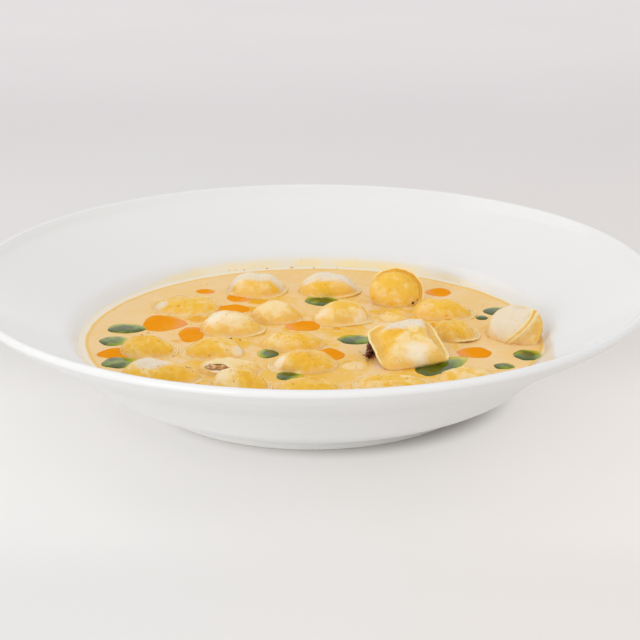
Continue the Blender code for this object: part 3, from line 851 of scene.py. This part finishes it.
def layered_pleats(point, angle, step):
    """Raise three low pleats that run along the piece, most in its middle."""
    fold = sin(PLEAT_CLOSENESS * point.y + PLEAT_SLANT * point.x + PLEAT_START)
    inwards = max(0.0, 1.0 - abs(point.x) / PLEAT_REACH)
    point.z += PLEAT_HEIGHT * fold * min(step * 3.0, 1.0) * inwards
    return point


piece = pinched_dumpling(DUMPLINGS[FLAT_FOLD], layered_pleats)
dressed(piece, dough_finish, ["dumpling_20"])
dumpling_pieces[FLAT_FOLD] = piece

# The half-moon that leans on the well wall: it shows its pale face, partly dry dough and partly
# a painted reflection of the pale room, and both lips of its hem, and it stands half out of the
# soup.
HALF_MOON = 11
SEAM_LIPS = (0.0, 1.9)
LIP_HEIGHT = 1.5
LIP_HALF = 0.55
SEAM_RIGHT = 7.7
SEAM_BACK = 4.5
SEAM_BOW = 0.039
FAR_LOBE_DROP = 2.2
FAR_LOBE_EDGE = (0.6, 1.5)
BETWEEN_LIPS = (0.95, 0.4)
BETWEEN_LIPS_SHADE = 0.9
DRY_SHEEN_EDGE = (-0.4, 0.8)


def seam_offset(x, y):
    """How far a place on the half-moon is beyond its seam, which runs down its right side."""
    return x - (SEAM_RIGHT - SEAM_BOW * (y - SEAM_BACK) ** 2)


def upright_seam(point, angle, step):
    """Raise the two lips of the seam and let the lobe beyond them hang lower."""
    off = seam_offset(point.x, point.y)
    if point.z > 0.0:
        lips = sum(hump(off, lip, LIP_HALF) for lip in SEAM_LIPS)
        point.z += LIP_HEIGHT * lips * min(step * 4.0, 1.0)
        beyond = (off - SEAM_LIPS[1] - FAR_LOBE_EDGE[0]) / FAR_LOBE_EDGE[1]
        point.z -= FAR_LOBE_DROP * min(max(beyond, 0.0), 1.0) * min(step * 3.0, 1.0)
    return point


piece = pinched_dumpling(DUMPLINGS[HALF_MOON], upright_seam, finer=2)
to_half_moon = dough_place(DUMPLINGS[HALF_MOON]).inverted()
seam_and_shade_layer = piece.data.attributes["hem_and_groove_shade"]
dry_sheen_layer = piece.data.attributes["dry_sheen"]
for vert in piece.data.vertices:
    local = to_half_moon @ vert.co
    off = seam_offset(local.x, local.y)
    if local.z > 0.0:
        lips = sum(hump(off, lip, LIP_HALF) for lip in SEAM_LIPS)
        # Between the lips the seam is painted darker as shade.
        between_lips = hump(off, *BETWEEN_LIPS)
        seam_and_shade_layer.data[vert.index].value = max(lips, 0.0) - BETWEEN_LIPS_SHADE * between_lips
    # Beyond the seam the pale patch, dry dough and painted reflection, is taken off.
    past_dry_sheen = min(max((off - DRY_SHEEN_EDGE[0]) / DRY_SHEEN_EDGE[1], 0.0), 1.0)
    dry_sheen_layer.data[vert.index].value *= 1.0 - past_dry_sheen
dressed(piece, dough_finish, ["dumpling_11"])
dumpling_pieces[HALF_MOON] = piece

# The open dumpling: its seam has burst, so its filling shows between two swollen lips.
OPEN = 15
MOUTH_MIDDLE = (-38.6, 3.3)
MOUTH_REACH = 6.2
MOUTH_GAPE = 1.05
MOUTH_DEPTH = 3.6
MOUTH_BOW = 0.7
LIP_SWELL = 0.8
LIP_RISE = 0.4
LIP_WIDTH = (0.35, 0.45)
LIPS_GLINT_REACH = MOUTH_REACH + 1.6
LIPS_GLINT_HEIGHT = 2.2
LIPS_GLINT = 1.05
piece = pinched_dumpling(DUMPLINGS[OPEN], finer=2)
for vert in piece.data.vertices:
    across = (vert.co.x / MM - MOUTH_MIDDLE[0]) / MOUTH_REACH
    front = vert.co.y / MM < DUMPLINGS[OPEN].y - 1.0
    if abs(across) < 1.0 and front and vert.co.z > SOUP_LEVEL:
        gape = MOUTH_GAPE * (1.0 - across * across)
        off = (vert.co.z - SOUP_LEVEL) / MM - MOUTH_MIDDLE[1] + MOUTH_BOW * across * across
        if abs(off) < gape:
            vert.co.y += MOUTH_DEPTH * MM * (1.0 - (off / gape) ** 2) * (1.0 - across ** 4)
        lip = hump(abs(off) - gape, *LIP_WIDTH) * (1.0 - across * across)
        vert.co.y -= LIP_SWELL * MM * lip
        vert.co.z += LIP_RISE * MM * lip * (1.0 if off > 0.0 else -0.3)
# The lips round the mouth are painted with the same pale highlight.
lips = piece.data.attributes["milk_and_glint"]
for vert in piece.data.vertices:
    across = (vert.co.x / MM - MOUTH_MIDDLE[0]) / LIPS_GLINT_REACH
    off = ((vert.co.z - SOUP_LEVEL) / MM - MOUTH_MIDDLE[1]) / LIPS_GLINT_HEIGHT
    if vert.co.y / MM < DUMPLINGS[OPEN].y:
        lips.data[vert.index].value = max(0.0, LIPS_GLINT - (across * across + off * off))
dressed(piece, dough_finish, ["dumpling_15"])
dumpling_pieces[OPEN] = piece

# The filling: minced meat, boiled grey-brown, with darker bits. One lump shows in the open
# dumpling's mouth and a dark crumb has come out beside the square parcel's hem.
FILLING_BROWN = srgb(190, 132, 74)
FILLING_LIGHT = srgb(238, 200, 146)
FILLING_DARK = srgb(72, 28, 8)
CRUMB_BROWN = srgb(150, 78, 40)
MOUTH_LUMP_MIDDLE = (-38.8, -49.6, 3.1)
MOUTH_LUMP_HALF = (5.0, 2.6, 1.2)
CRUMB_MIDDLE = (25.6, -24.5, 1.8)
CRUMB_HALF = (1.9, 6.6, 2.2)


def minced_filling(name, light, dark, share):
    finish, tree, shader = new_finish(name)
    where = coordinates(tree)
    grain = cloudy(tree, where, 1.6, 4.0)
    base = blend_colours(tree, between(tree, grain, 0.40, 0.62), dark, light)
    base = laid_on(tree, base, FILLING_DARK, cloudy(tree, where, 0.8, 2.0), 0.58, 0.66, share)
    tree.links.new(base, shader.inputs["Base Color"])
    tree.links.new(between(tree, grain, 0.3, 0.7, 0.55, 0.3), shader.inputs["Roughness"])
    raised(tree, shader, grain, 0.5)
    return finish


def crumbly_lump(name, middle, half, seed, ragged, turn=0.0):
    """A lump of mince: a ball that is stretched to size and roughened all over."""
    turned = Matrix.Rotation(radians(turn), 3, "Z")
    deselect_all()
    bpy.ops.mesh.primitive_ico_sphere_add(subdivisions=5, radius=1.0)
    piece = just_added(name)
    for vert in piece.data.vertices:
        away = vert.co * 1.7 + Vector((seed, 0.0, 0.0))
        bumps = noise.fractal(away, 0.9, 2.1, 4) * ragged
        point = vert.co * (1.0 + bumps)
        point = turned @ Vector([point[axis] * half[axis] for axis in range(3)])
        vert.co = (point + Vector(middle)) * MM
        vert.co.z += SOUP_LEVEL
    bpy.ops.object.shade_smooth()
    return piece


mouth_filling = crumbly_lump("filling_in_mouth", MOUTH_LUMP_MIDDLE, MOUTH_LUMP_HALF, 2.0, 0.35)
dressed(
    mouth_filling,
    minced_filling("boiled_mince", FILLING_LIGHT, FILLING_BROWN, 0.5),
    ["filling_open_dumpling"],
)
loose_filling = crumbly_lump("filling_crumb", CRUMB_MIDDLE, CRUMB_HALF, 9.0, 0.75, -8.0)
dressed(
    loose_filling,
    minced_filling("browned_mince", CRUMB_BROWN, FILLING_DARK, 1.0),
    ["filling_torn_dumpling"],
)

# The soup: stock thickened with cream, poured round the dumplings. Its surface climbs a little
# at the wall and at every dumpling, and its yellow fat gathers in a ring along the wall and as
# a film between the dumplings.
SOUP_SIDES = 360
SOUP_RINGS = 100
MENISCUS = 0.25 * MM
MENISCUS_REACH = 1.1 * MM
WALL_MENISCUS = 0.25 * MM
UNDER_DOUGH = 2.0 * MM
UNDER_DOUGH_SLOPE = 2.5 * MM
CROWD_MIDDLE = (5.0 * MM, -20.0 * MM)
CROWD_REACH = (70.0 * MM, 75.0 * MM)
HALO_STRENGTH = 0.75
HALO_REACH = 3.5 * MM


def soup_profile():
    """Outline of the soup: in from the wall over its flat top, and down along the wall."""
    points = []
    for step in range(SOUP_RINGS):
        points.append((AXIS_RADIUS + (SOUP_RADIUS - AXIS_RADIUS) * step / SOUP_RINGS, SOUP_LEVEL))
    top_angle = degrees(asin((SOUP_LEVEL - WELL_CENTRE[1]) / WELL_DEPTH))
    radii = (WELL_WIDTH - 0.05 * MM, WELL_DEPTH - 0.05 * MM)
    points += elliptic(WELL_CENTRE, radii, (top_angle, -90.0), 14)
    points.append((AXIS_RADIUS, points[-1][1]))
    return points


def soup_rise(x, y, places):
    """How far the soup climbs here, up at dough and wall, and how far the nearest dough is."""
    rise = WALL_MENISCUS * exp(-(SOUP_RADIUS - hypot(x, y)) / MENISCUS_REACH)
    closest = 1.0
    for dumpling, to_dough in places:
        near = to_dough @ Vector((x, y, SOUP_LEVEL))
        height = dumpling.rise if near.z > 0.0 else dumpling.sink
        reach = sqrt(
            (2.0 * near.x / dumpling.length) ** 2
            + (2.0 * near.y / dumpling.width) ** 2
            + (near.z / height) ** 2
        )
        away = (reach - 1.0) * dumpling.width / 2.0 * MM
        closest = min(closest, away)
        if away > 6.0 * MENISCUS_REACH:
            continue
        if away > 0.0:
            rise += MENISCUS * exp(-away / MENISCUS_REACH)
        else:
            sink = min(-away / UNDER_DOUGH_SLOPE, 1.0)
            rise += MENISCUS - (MENISCUS + UNDER_DOUGH) * sink * sink
    return rise, max(closest, 0.0)


soup = thrown("creamy_soup", soup_profile(), SOUP_SIDES)
places = [(dumpling, dough_place(dumpling).inverted()) for dumpling in DUMPLINGS.values()]
halo = [0.0] * len(soup.data.vertices)
for vert in soup.data.vertices:
    if vert.co.z > SOUP_LEVEL - MERGE:
        rise, to_nearest = soup_rise(vert.co.x, vert.co.y, places)
        vert.co.z += rise
        across = (vert.co.x - CROWD_MIDDLE[0]) / CROWD_REACH[0]
        along = (vert.co.y - CROWD_MIDDLE[1]) / CROWD_REACH[1]
        crowded = exp(-(across ** 4)) * exp(-(along ** 4))
        halo[vert.index] = HALO_STRENGTH * crowded * exp(-to_nearest / HALO_REACH)
        radius = hypot(vert.co.x, vert.co.y)
        if radius > SOUP_RADIUS:
            depth = (WELL_CENTRE[1] - vert.co.z) / WELL_DEPTH
            wall = WELL_CENTRE[0] + WELL_WIDTH * sqrt(1.0 - depth * depth)
            vert.co.x *= wall / radius
            vert.co.y *= wall / radius
deselect_all()
soup.select_set(True)
bpy.context.view_layer.objects.active = soup
bpy.ops.object.shade_smooth_by_angle(angle=radians(50.0))

# Where its fat lies on it in yellow and in amber: right and back of the middle, the reach and
# the strength.
FAT_POOLS = (
    (-42, -17, 9, 1.0), (-33, -13, 8, 0.9), (15, 6, 12, 0.8), (18, -32, 9, 0.7), (36, 32, 9, 0.8),
    (52, 22, 8, 0.8), (-18, -13, 8, 0.7), (8, -57, 10, 0.9), (-6, 6, 10, 0.7), (22, 30, 9, 0.7),
    (62, -12, 9, 0.5), (-52, -62, 9, 1.0), (-70, -40, 8, 0.8), (46, -48, 12, 0.9), (-14, 48, 9, 0.7),
    (20, 52, 8, 0.7), (-18, -55, 8, 1.0), (14, -52, 9, 0.8), (50, 40, 8, 0.8), (36, -8, 9, 0.7),
    (78, 8, 6, 0.7), (-50, -38, 7, 0.7),
)
AMBER_POOLS = (
    (-25, 48, 6, 0.95), (-29, 36, 6, 1.0), (-51, 22, 7, 0.95), (55, 14, 4, 0.9), (-58, -9, 5, 0.7),
    (-72, -9, 6, 0.7), (11, 9, 2.2, 1.2),
)
MILKY_POOLS = ((31, -41, 4, 1.0), (37, 12, 9, 0.7), (-33, -33, 5, 0.5), (66, 44, 8, 0.4))
for name, pools in (("fat", FAT_POOLS), ("amber", AMBER_POOLS), ("milk_and_glint", MILKY_POOLS)):
    spread = [patch_strength(pools, vert.co.x / MM, vert.co.y / MM) for vert in soup.data.vertices]
    if name == "fat":
        spread = [max(pooled, halo[index]) for index, pooled in enumerate(spread)]
    keep_values(soup, name, spread)

SOUP_PEACH = srgb(240, 204, 146)
SOUP_CREAM = srgb(240, 198, 122)
SOUP_FILM = srgb(238, 186, 50)
SOUP_AMBER = srgb(236, 168, 10)
SOUP_RING = srgb(238, 190, 84)
SOUP_THIN = srgb(238, 229, 210)
SOUP_MILKY = srgb(248, 226, 194)
SOUP_CLOUDS = (5.0, 5.0, 0.9)
RING_CLOUDS = (14.0, 2.0, 0.0)
RING_WANDER = 1.6 * MM
RING_MIDDLE = (1.2 * MM, -1.2 * MM)
RING_EDGE = (98.4 * MM, 99.2 * MM)
THIN_EDGE = (99.9 * MM, 100.7 * MM)


def creamy_soup():
    finish, tree, shader = new_finish("cream_soup")
    where = coordinates(tree)
    x, y, z = separate(tree, where)
    creamy = between(tree, cloudy(tree, where, 22.0, 3.0), 0.35, 0.65)
    base = blend_colours(tree, creamy, SOUP_PEACH, SOUP_CREAM)
    film = pooled(tree, where, SOUP_CLOUDS, 2.2, attribute(tree, "fat"))
    base = laid_on(tree, base, SOUP_FILM, film, 0.20, 0.80, 0.85)
    amber = pooled(tree, where, SOUP_CLOUDS, 1.2, attribute(tree, "amber"))
    base = laid_on(tree, base, SOUP_AMBER, amber, 0.55, 0.75, 0.95)
    # Tiny beads of fat are strewn all over it.
    base = laid_on(tree, base, SOUP_FILM, cloudy(tree, where, 1.3, 1.0), 0.68, 0.74, 0.6)
    milky_and_glint = pooled(tree, where, SOUP_CLOUDS, 1.2, attribute(tree, "milk_and_glint"))
    base = laid_on(tree, base, SOUP_MILKY, milky_and_glint, 0.3, 0.9, 0.8)
    # The fat's ring lies just inside the wall, and outside it the soup is a thin pale film.
    edge = pooled(tree, where, RING_CLOUDS, RING_WANDER, length_of(tree, x, y, *RING_MIDDLE))
    base = laid_on(tree, base, SOUP_RING, edge, *RING_EDGE, 0.85)
    base = laid_on(tree, base, SOUP_THIN, edge, *THIN_EDGE, 0.95)
    tree.links.new(base, shader.inputs["Base Color"])
    tree.links.new(between(tree, film, 0.3, 0.8, 0.22, 0.12), shader.inputs["Roughness"])
    shader.inputs["IOR"].default_value = 1.38
    shader.inputs["Specular IOR Level"].default_value = 0.15
    raised(tree, shader, cloudy(tree, where, 5.0, 4.0), 0.22)
    return finish


dressed(soup, creamy_soup(), ["broth"])

# The oil drops: herb oil and chili oil spooned on last. Each floats as a flat lens with a
# round edge, and thins out to a paler tail on one side.
Drop = namedtuple("Drop", "number x y length width turn taper thin_at")

HERB_DROPS = (
    Drop(1, -82.5, 9, 17.8, 13.0, 0, 0.1, 90),
    Drop(2, -86, -8, 14, 12, 0, 0.0, 0),
    Drop(3, -81, -36, 15.5, 13, 8, 0.2, 20),
    Drop(4, 4.6, 49.0, 15.5, 15, 0, 0.0, 85),
    Drop(5, 19, -6, 15, 12.5, 0, 0.0, 100),
    Drop(6, -18.6, -24.6, 9, 12, 0, 0.25, 160),
    Drop(7, -8.6, -52.6, 12, 9, 0, 0.45, 350),
    Drop(8, 55.4, -40.0, 29, 15, 47, 0.1, 70),
    Drop(9, 84.5, 33.5, 13, 12, 0, 0.0, 60),
    Drop(10, 76.6, 24, 5.6, 6, 0, 0.0, 90),
    Drop(11, 93.2, -26.5, 13, 14, 10, 0.0, 40),
    Drop(12, 81.8, -40.6, 9, 7.5, 0, 0.2, 60),
)
CHILI_DROPS = (
    Drop(1, -66, 16, 20.5, 21, 0, 0.35, 0),
    Drop(2, -53, 1.2, 11.5, 20, 0, 0.0, 90),
    Drop(3, -82.8, -24.4, 17.5, 13, 0, 0.1, 0),
    Drop(4, -33.8, 53.4, 11, 12, 0, 0.1, 0),
    Drop(5, -50, 63, 8.5, 6, 0, 0.0, 0),
    Drop(6, -38, 36.5, 18, 13, 12, -0.2, 200),
    Drop(7, -4, 13, 16, 14, 0, 0.0, 180),
    Drop(8, 7.0, -26.3, 13.6, 17, 0, 0.0, 180),
    Drop(9, 59, 62, 12, 12, 0, -0.1, 180),
    Drop(10, 69.8, -23.6, 15, 14, 0, -0.2, 180),
)
DROP_TOP = 0.7
DROP_DEPTH = 0.9
DROP_SIDES = 48
DROP_RINGS = 18
DROP_UNEVEN = 0.16


def floating_drop(drop, kind):
    """A lens of oil: a ball pressed flat, drawn out to its tail and laid on the soup."""
    deselect_all()
    bpy.ops.mesh.primitive_uv_sphere_add(segments=DROP_SIDES, ring_count=DROP_RINGS, radius=1.0)
    piece = just_added(f"{kind}_drop_{drop.number:02d}")
    place = Matrix.Translation((drop.x * MM, drop.y * MM, SOUP_LEVEL))
    place @= Matrix.Rotation(radians(drop.turn), 4, "Z")
    thin = [0.0] * len(piece.data.vertices)
    for vert in piece.data.vertices:
        angle = atan2(vert.co.y, vert.co.x)
        out = hypot(vert.co.x, vert.co.y) ** 0.8
        around = Vector((1.5 * cos(angle), 1.5 * sin(angle), 4.9 * drop.number))
        wobble = 1.0 + DROP_UNEVEN * noise.noise(around)
        narrow = 1.0 - drop.taper * cos(angle)
        x = drop.length / 2.0 * out * cos(angle) * wobble
        y = drop.width / 2.0 * out * sin(angle) * narrow * wobble
        z = vert.co.z * (DROP_TOP if vert.co.z > 0.0 else DROP_DEPTH)
        facing = cos(angle + radians(drop.turn) - radians(drop.thin_at))
        thin[vert.index] = out * (0.5 + 0.5 * facing)
        vert.co = place @ Vector((x * MM, y * MM, z * MM))
    keep_values(piece, "thin", thin)
    bpy.ops.object.shade_smooth()
    return piece


HERB_DARK = srgb(66, 82, 0)
HERB_GREEN = srgb(128, 148, 16)
HERB_THIN = srgb(200, 182, 12)
CHILI_DEEP = srgb(238, 150, 24)
CHILI_ORANGE = srgb(239, 157, 44)
CHILI_THIN = srgb(241, 160, 92)
OIL_CLOUDS = (4.0, 2.0, 0.0)


def floating_oil(name, deep, middle, thin, gloss):
    finish, tree, shader = new_finish(name)
    where = coordinates(tree)
    base = laid_on(tree, deep, middle, cloudy(tree, where, 7.0, 2.0), 0.45, 0.75)
    edge = pooled(tree, where, OIL_CLOUDS, 0.35, attribute(tree, "thin"))
    base = laid_on(tree, base, middle, edge, 0.25, 0.50)
    base = laid_on(tree, base, thin, edge, 0.48, 0.80)
    tree.links.new(base, shader.inputs["Base Color"])
    rough = between(tree, cloudy(tree, where, 3.0), 0.3, 0.7, 0.03, 0.08)
    tree.links.new(rough, shader.inputs["Roughness"])
    shader.inputs["IOR"].default_value = 1.4
    shader.inputs["Specular IOR Level"].default_value = gloss
    raised(tree, shader, cloudy(tree, where, 5.0, 1.0), 0.06)
    return finish


herb_finish = floating_oil("herb_oil", HERB_DARK, HERB_GREEN, HERB_THIN, 0.5)
chili_finish = floating_oil("chili_oil", CHILI_DEEP, CHILI_ORANGE, CHILI_THIN, 0.0)
OILS = (("herb_oil", HERB_DROPS, herb_finish), ("chili_oil", CHILI_DROPS, chili_finish))
for kind, drops, finish in OILS:
    for drop in drops:
        piece = floating_drop(drop, kind)
        dressed(piece, finish, [f"{kind}_{drop.number:02d}"])

# The smallest bits: cracked pepper, grains of spice and beads of fat, strewn where they lie on
# the dumplings, on the soup and on the wall above it. Each kind is one piece of many grains,
# rolled from small balls and dropped straight down onto what is under it.
Grain = namedtuple("Grain", "x y wide tall")

PEPPER = (
    Grain(-35.3, -5.0, 1.1, 0.7), Grain(-35.0, -7.4, 0.8, 0.5), Grain(-31.3, -6.8, 0.9, 0.6),
    Grain(46.3, 42.1, 1.6, 0.8), Grain(48.4, 44.5, 0.9, 0.5), Grain(-19.7, -67.1, 0.6, 0.5),
    Grain(-51.8, -53.4, 0.9, 0.5), Grain(-50.6, -51.3, 0.7, 0.5), Grain(-49.4, -55.0, 0.6, 0.4),
    Grain(14.8, -71.5, 0.9, 0.6), Grain(22.6, -26.4, 1.4, 0.6),
    Grain(24.2, -34.0, 0.9, 0.5), Grain(20.9, -22.6, 0.7, 0.5),
    Grain(71.4, 27.8, 0.9, 0.6), Grain(74.6, 29.0, 0.7, 0.5), Grain(38.4, 31.6, 0.6, 0.4),
    Grain(33.4, 32.4, 0.6, 0.4), Grain(30.6, 30.4, 0.5, 0.4), Grain(-60.3, -26.0, 0.5, 0.4),
)
AMBER_BEADS = (
    Grain(45.0, 40.6, 2.2, 1.6), Grain(55.5, 13.3, 3.4, 2.6), Grain(11.1, 8.7, 2.4, 0.6),
    Grain(60.1, 1.7, 3.6, 0.6), Grain(-51.2, 21.3, 2.2, 0.6), Grain(-72.3, 3.2, 1.6, 0.6),
    Grain(-70.0, 6.0, 1.2, 0.6), Grain(-75.0, 1.0, 1.0, 0.5), Grain(-22.0, 99.0, 1.4, 0.8),
    Grain(-10.0, 100.4, 1.7, 0.9), Grain(0.9, 100.2, 1.3, 0.7), Grain(-33.0, 96.0, 0.9, 0.5),
    Grain(12.0, 99.6, 0.8, 0.5), Grain(-69.4, -59.0, 1.0, 0.5), Grain(-90.0, 36.0, 0.8, 0.4),
)
SPICE_GRAINS = 100
SPICE_WIDTHS = (0.5, 1.1)
SPICE_SEED = 5
SPICED_DUMPLINGS = (3, 4, 8, 8, 10, 12, 12, 13, 14, 16, 17, 18, 18, 19, 5, 20)
FAT_BEADS = 60
FAT_WIDTHS = (0.4, 1.1)
FAT_SEED = 8
FAT_REACH = 92.0
FALL_HEIGHT = 0.1
GRAIN_UNEVEN = 0.35

depsgraph = bpy.context.evaluated_depsgraph_get()
food = [BVHTree.FromObject(thing, depsgraph) for thing in (soup, plate, *dumpling_pieces.values())]


def resting_place(x, y):
    """Where a grain comes to rest when it is dropped here, and which way that place faces."""
    start = Vector((x * MM, y * MM, FALL_HEIGHT))
    falls = [below.ray_cast(start, Vector((0.0, 0.0, -1.0))) for below in food]
    landed = [(fall[0], fall[1]) for fall in falls if fall[0]]
    return max(landed, key=lambda fall: fall[0].z)


def strewn(name, grains, finish):
    """One piece of many grains: small balls, pressed flat and made uneven where they lie."""
    deselect_all()
    bpy.ops.mesh.primitive_ico_sphere_add(subdivisions=2, radius=1.0)
    piece = just_added(name)
    each = len(piece.data.vertices)
    bpy.ops.object.mode_set(mode="EDIT")
    for grain in grains[1:]:
        bpy.ops.mesh.primitive_ico_sphere_add(subdivisions=2, radius=1.0)
    bpy.ops.object.mode_set(mode="OBJECT")
    for number, grain in enumerate(grains):
        place, facing = resting_place(grain.x, grain.y)
        upright = facing.to_track_quat("Z", "Y").to_matrix()
        for vert in piece.data.vertices[number * each : (number + 1) * each]:
            around = vert.co * 1.3 + Vector((2.7 * number, 0.0, 0.0))
            uneven = 1.0 + GRAIN_UNEVEN * noise.noise(around)
            size = Vector((grain.wide, grain.wide * 0.75, grain.tall)) * 0.5 * uneven
            vert.co = place + upright @ Vector([vert.co[axis] * size[axis] for axis in range(3)]) * MM
    bpy.ops.object.shade_smooth()
    dressed(piece, finish)
    return piece


def scattered(count, seed, sizes, on_food):
    """Grains at random: near the middle of random dumplings, or anywhere on the soup."""
    chance = Random(seed)
    grains = []
    for number in range(count):
        if on_food:
            host = DUMPLINGS[chance.choice(SPICED_DUMPLINGS)]
            x = chance.gauss(host.x, host.length / 5.0)
            y = chance.gauss(host.y, host.width / 5.0)
        else:
            reach = FAT_REACH * sqrt(chance.random())
            angle = chance.uniform(-pi, pi)
            x = reach * cos(angle)
            y = reach * sin(angle)
        wide = chance.uniform(*sizes)
        grains.append(Grain(x, y, wide, 0.3 * wide))
    return grains


def plain_finish(name, colour, rough):
    """A small grain's finish: one colour, a little darker and lighter in places."""
    finish, tree, shader = new_finish(name)
    where = coordinates(tree)
    darker = tuple(part * 0.8 for part in colour[:3]) + (1.0,)
    grain = cloudy(tree, where, 0.5)
    tree.links.new(blend_colours(tree, grain, darker, colour), shader.inputs["Base Color"])
    tree.links.new(between(tree, grain, 0.3, 0.7, rough, rough * 0.6), shader.inputs["Roughness"])
    return finish


PEPPER_BROWN = srgb(84, 48, 18)
SPICE_YELLOW = srgb(240, 172, 44)
FAT_AMBER = srgb(246, 176, 30)
pepper_finish = plain_finish("cracked_pepper", PEPPER_BROWN, 0.6)
spice_finish = plain_finish("ground_spice", SPICE_YELLOW, 0.5)
bead_finish = plain_finish("amber_fat", FAT_AMBER, 0.3)
strewn("pepper_specks", PEPPER, pepper_finish)
spice = scattered(SPICE_GRAINS, SPICE_SEED, SPICE_WIDTHS, True)
strewn("spice_grains", spice, spice_finish)
beads = list(AMBER_BEADS) + scattered(FAT_BEADS, FAT_SEED, FAT_WIDTHS, False)
strewn("amber_beads", beads, bead_finish)

# The table: a plain pale sweep of paper under a white room light, with the soft lamps of a
# food studio, and the camera low in front of the plate.
PAPER_SIZE = 12.0
PAPER_MIDDLE = (0.0, 2.0, 0.0)
deselect_all()
bpy.ops.mesh.primitive_plane_add(size=PAPER_SIZE, location=PAPER_MIDDLE)
paper = bpy.context.object
paper.name = "paper_sweep"
bpy.ops.object.transform_apply(location=True, rotation=True, scale=True)
PAPER_GLOW_FRONT = 0.10
PAPER_GLOW_SIDE = 0.13
PAPER_GLOW_NEAR = 0.05
PAPER_GLOW = 0.31
PAPER_GLOW_FAR = 0.37
SIDES_START = (0.03, 0.10)
SIDES_END = (0.17, 0.34)
SIDES_MIDDLE = 0.06
SIDES_REACH = (0.04, 0.15)
FAR_PART = (0.45, 0.85)
NEAR_PART = (-0.17, -0.11)
SHADOW_MIDDLE = (0.0065, 0.0)
SHADOW_EDGE = (0.068, 0.085)
SHADOW_DEPTH = 0.1
PAPER_EMISSION = (1.0, 0.985, 0.97, 1.0)
PAPER_WARM = srgb(173, 171, 169)
PAPER_RIGHT_SHADE_TINT = srgb(174, 167, 161)
PAPER_FAR_SHADE = srgb(160, 155, 157)
paper_finish, tree, shader = new_finish("paper")
where = coordinates(tree)
paper_x, paper_y, paper_z = separate(tree, where)
# The paper is painted darker and cooler far off, as shade where the room's light falls off, and
# warmer to the right, a painted tint of the warm shade there.
far = between(tree, paper_y, 0.0, 0.6)
to_right = between(tree, paper_x, -0.06, 0.14)
near_colour = blend_colours(tree, to_right, PAPER_WARM, PAPER_RIGHT_SHADE_TINT)
tree.links.new(blend_colours(tree, far, near_colour, PAPER_FAR_SHADE), shader.inputs["Base Color"])
dull = between(tree, cloudy(tree, where, 200.0), 0.3, 0.7, 0.6, 0.7)
tree.links.new(dull, shader.inputs["Roughness"])
shader.inputs["Emission Color"].default_value = PAPER_EMISSION
# The paper glows: painted light that stands for what white walls throw back, and the glow is
# cut down round the foot as a painted shadow under the plate.
aside = reckon(tree, "ABSOLUTE", paper_x)
beside = between(tree, aside, *SIDES_START, PAPER_GLOW_FRONT, PAPER_GLOW_SIDE)
beside = reckon(tree, "MULTIPLY", beside, between(tree, aside, *SIDES_END, 1.0, 0.0))
along = reckon(tree, "ABSOLUTE", reckon(tree, "ADD", paper_y, SIDES_MIDDLE))
beside = reckon(tree, "MULTIPLY", beside, between(tree, along, *SIDES_REACH, 1.0, 0.0))
behind = between(tree, paper_y, *FAR_PART, PAPER_GLOW, PAPER_GLOW_FAR)
before = between(tree, paper_y, *NEAR_PART, PAPER_GLOW_NEAR, 0.0)
glow = reckon(tree, "ADD", reckon(tree, "ADD", beside, behind), before)
from_foot = length_of(tree, paper_x, paper_y, *SHADOW_MIDDLE)
glow = reckon(tree, "MULTIPLY", glow, between(tree, from_foot, *SHADOW_EDGE, SHADOW_DEPTH, 1.0))
tree.links.new(glow, shader.inputs["Emission Strength"])
paper.data.materials.append(paper_finish)

ROOM_STRENGTH = 0.97
ROOM_LOW = (1.0, 0.985, 0.975, 1.0)
ROOM_HIGH = (0.92, 0.92, 0.93, 1.0)
room = bpy.data.worlds.new("white_room")
bpy.context.scene.world = room
room.use_nodes = True
room_tree = room.node_tree
up = separate(room_tree, room_tree.nodes.new("ShaderNodeTexCoord").outputs["Generated"])[2]
walls = blend_colours(room_tree, between(room_tree, up, 0.1, 0.9), ROOM_LOW, ROOM_HIGH)
room_tree.links.new(walls, room_tree.nodes["Background"].inputs["Color"])
room_tree.nodes["Background"].inputs["Strength"].default_value = ROOM_STRENGTH


def soft_lamp(name, place, aim, width, energy):
    """A large square lamp, turned to face the place that it lights."""
    lamp = bpy.data.lights.new(name, "AREA")
    lamp.shape = "SQUARE"
    lamp.size = width
    lamp.energy = energy
    holder = bpy.data.objects.new(name, lamp)
    bpy.context.scene.collection.objects.link(holder)
    holder.location = place
    holder.rotation_euler = (Vector(aim) - Vector(place)).to_track_quat("-Z", "Y").to_euler()
    return holder


LAMP_AIM = (0.0, 0.0, 0.03)
soft_lamp("key_lamp", (-0.9, 0.5, 1.2), LAMP_AIM, 0.9, 1.6)
soft_lamp("fill_lamp", (0.9, -0.6, 1.1), LAMP_AIM, 0.7, 0.8)
soft_lamp("front_lamp", (-1.0, -1.3, 0.18), LAMP_AIM, 0.8, 10.5)

CAMERA_PLACE = (0.0037, -0.9145, 0.3382)
CAMERA_PITCH = 71.504
LENS_MM = 123.35
camera = bpy.data.cameras.new("camera")
camera.sensor_width = 36.0
camera.lens = LENS_MM
camera_holder = bpy.data.objects.new("camera", camera)
bpy.context.scene.collection.objects.link(camera_holder)
camera_holder.location = CAMERA_PLACE
camera_holder.rotation_euler = (radians(CAMERA_PITCH), 0.0, 0.0)
bpy.context.scene.camera = camera_holder
bpy.context.scene.view_settings.view_transform = "Standard"
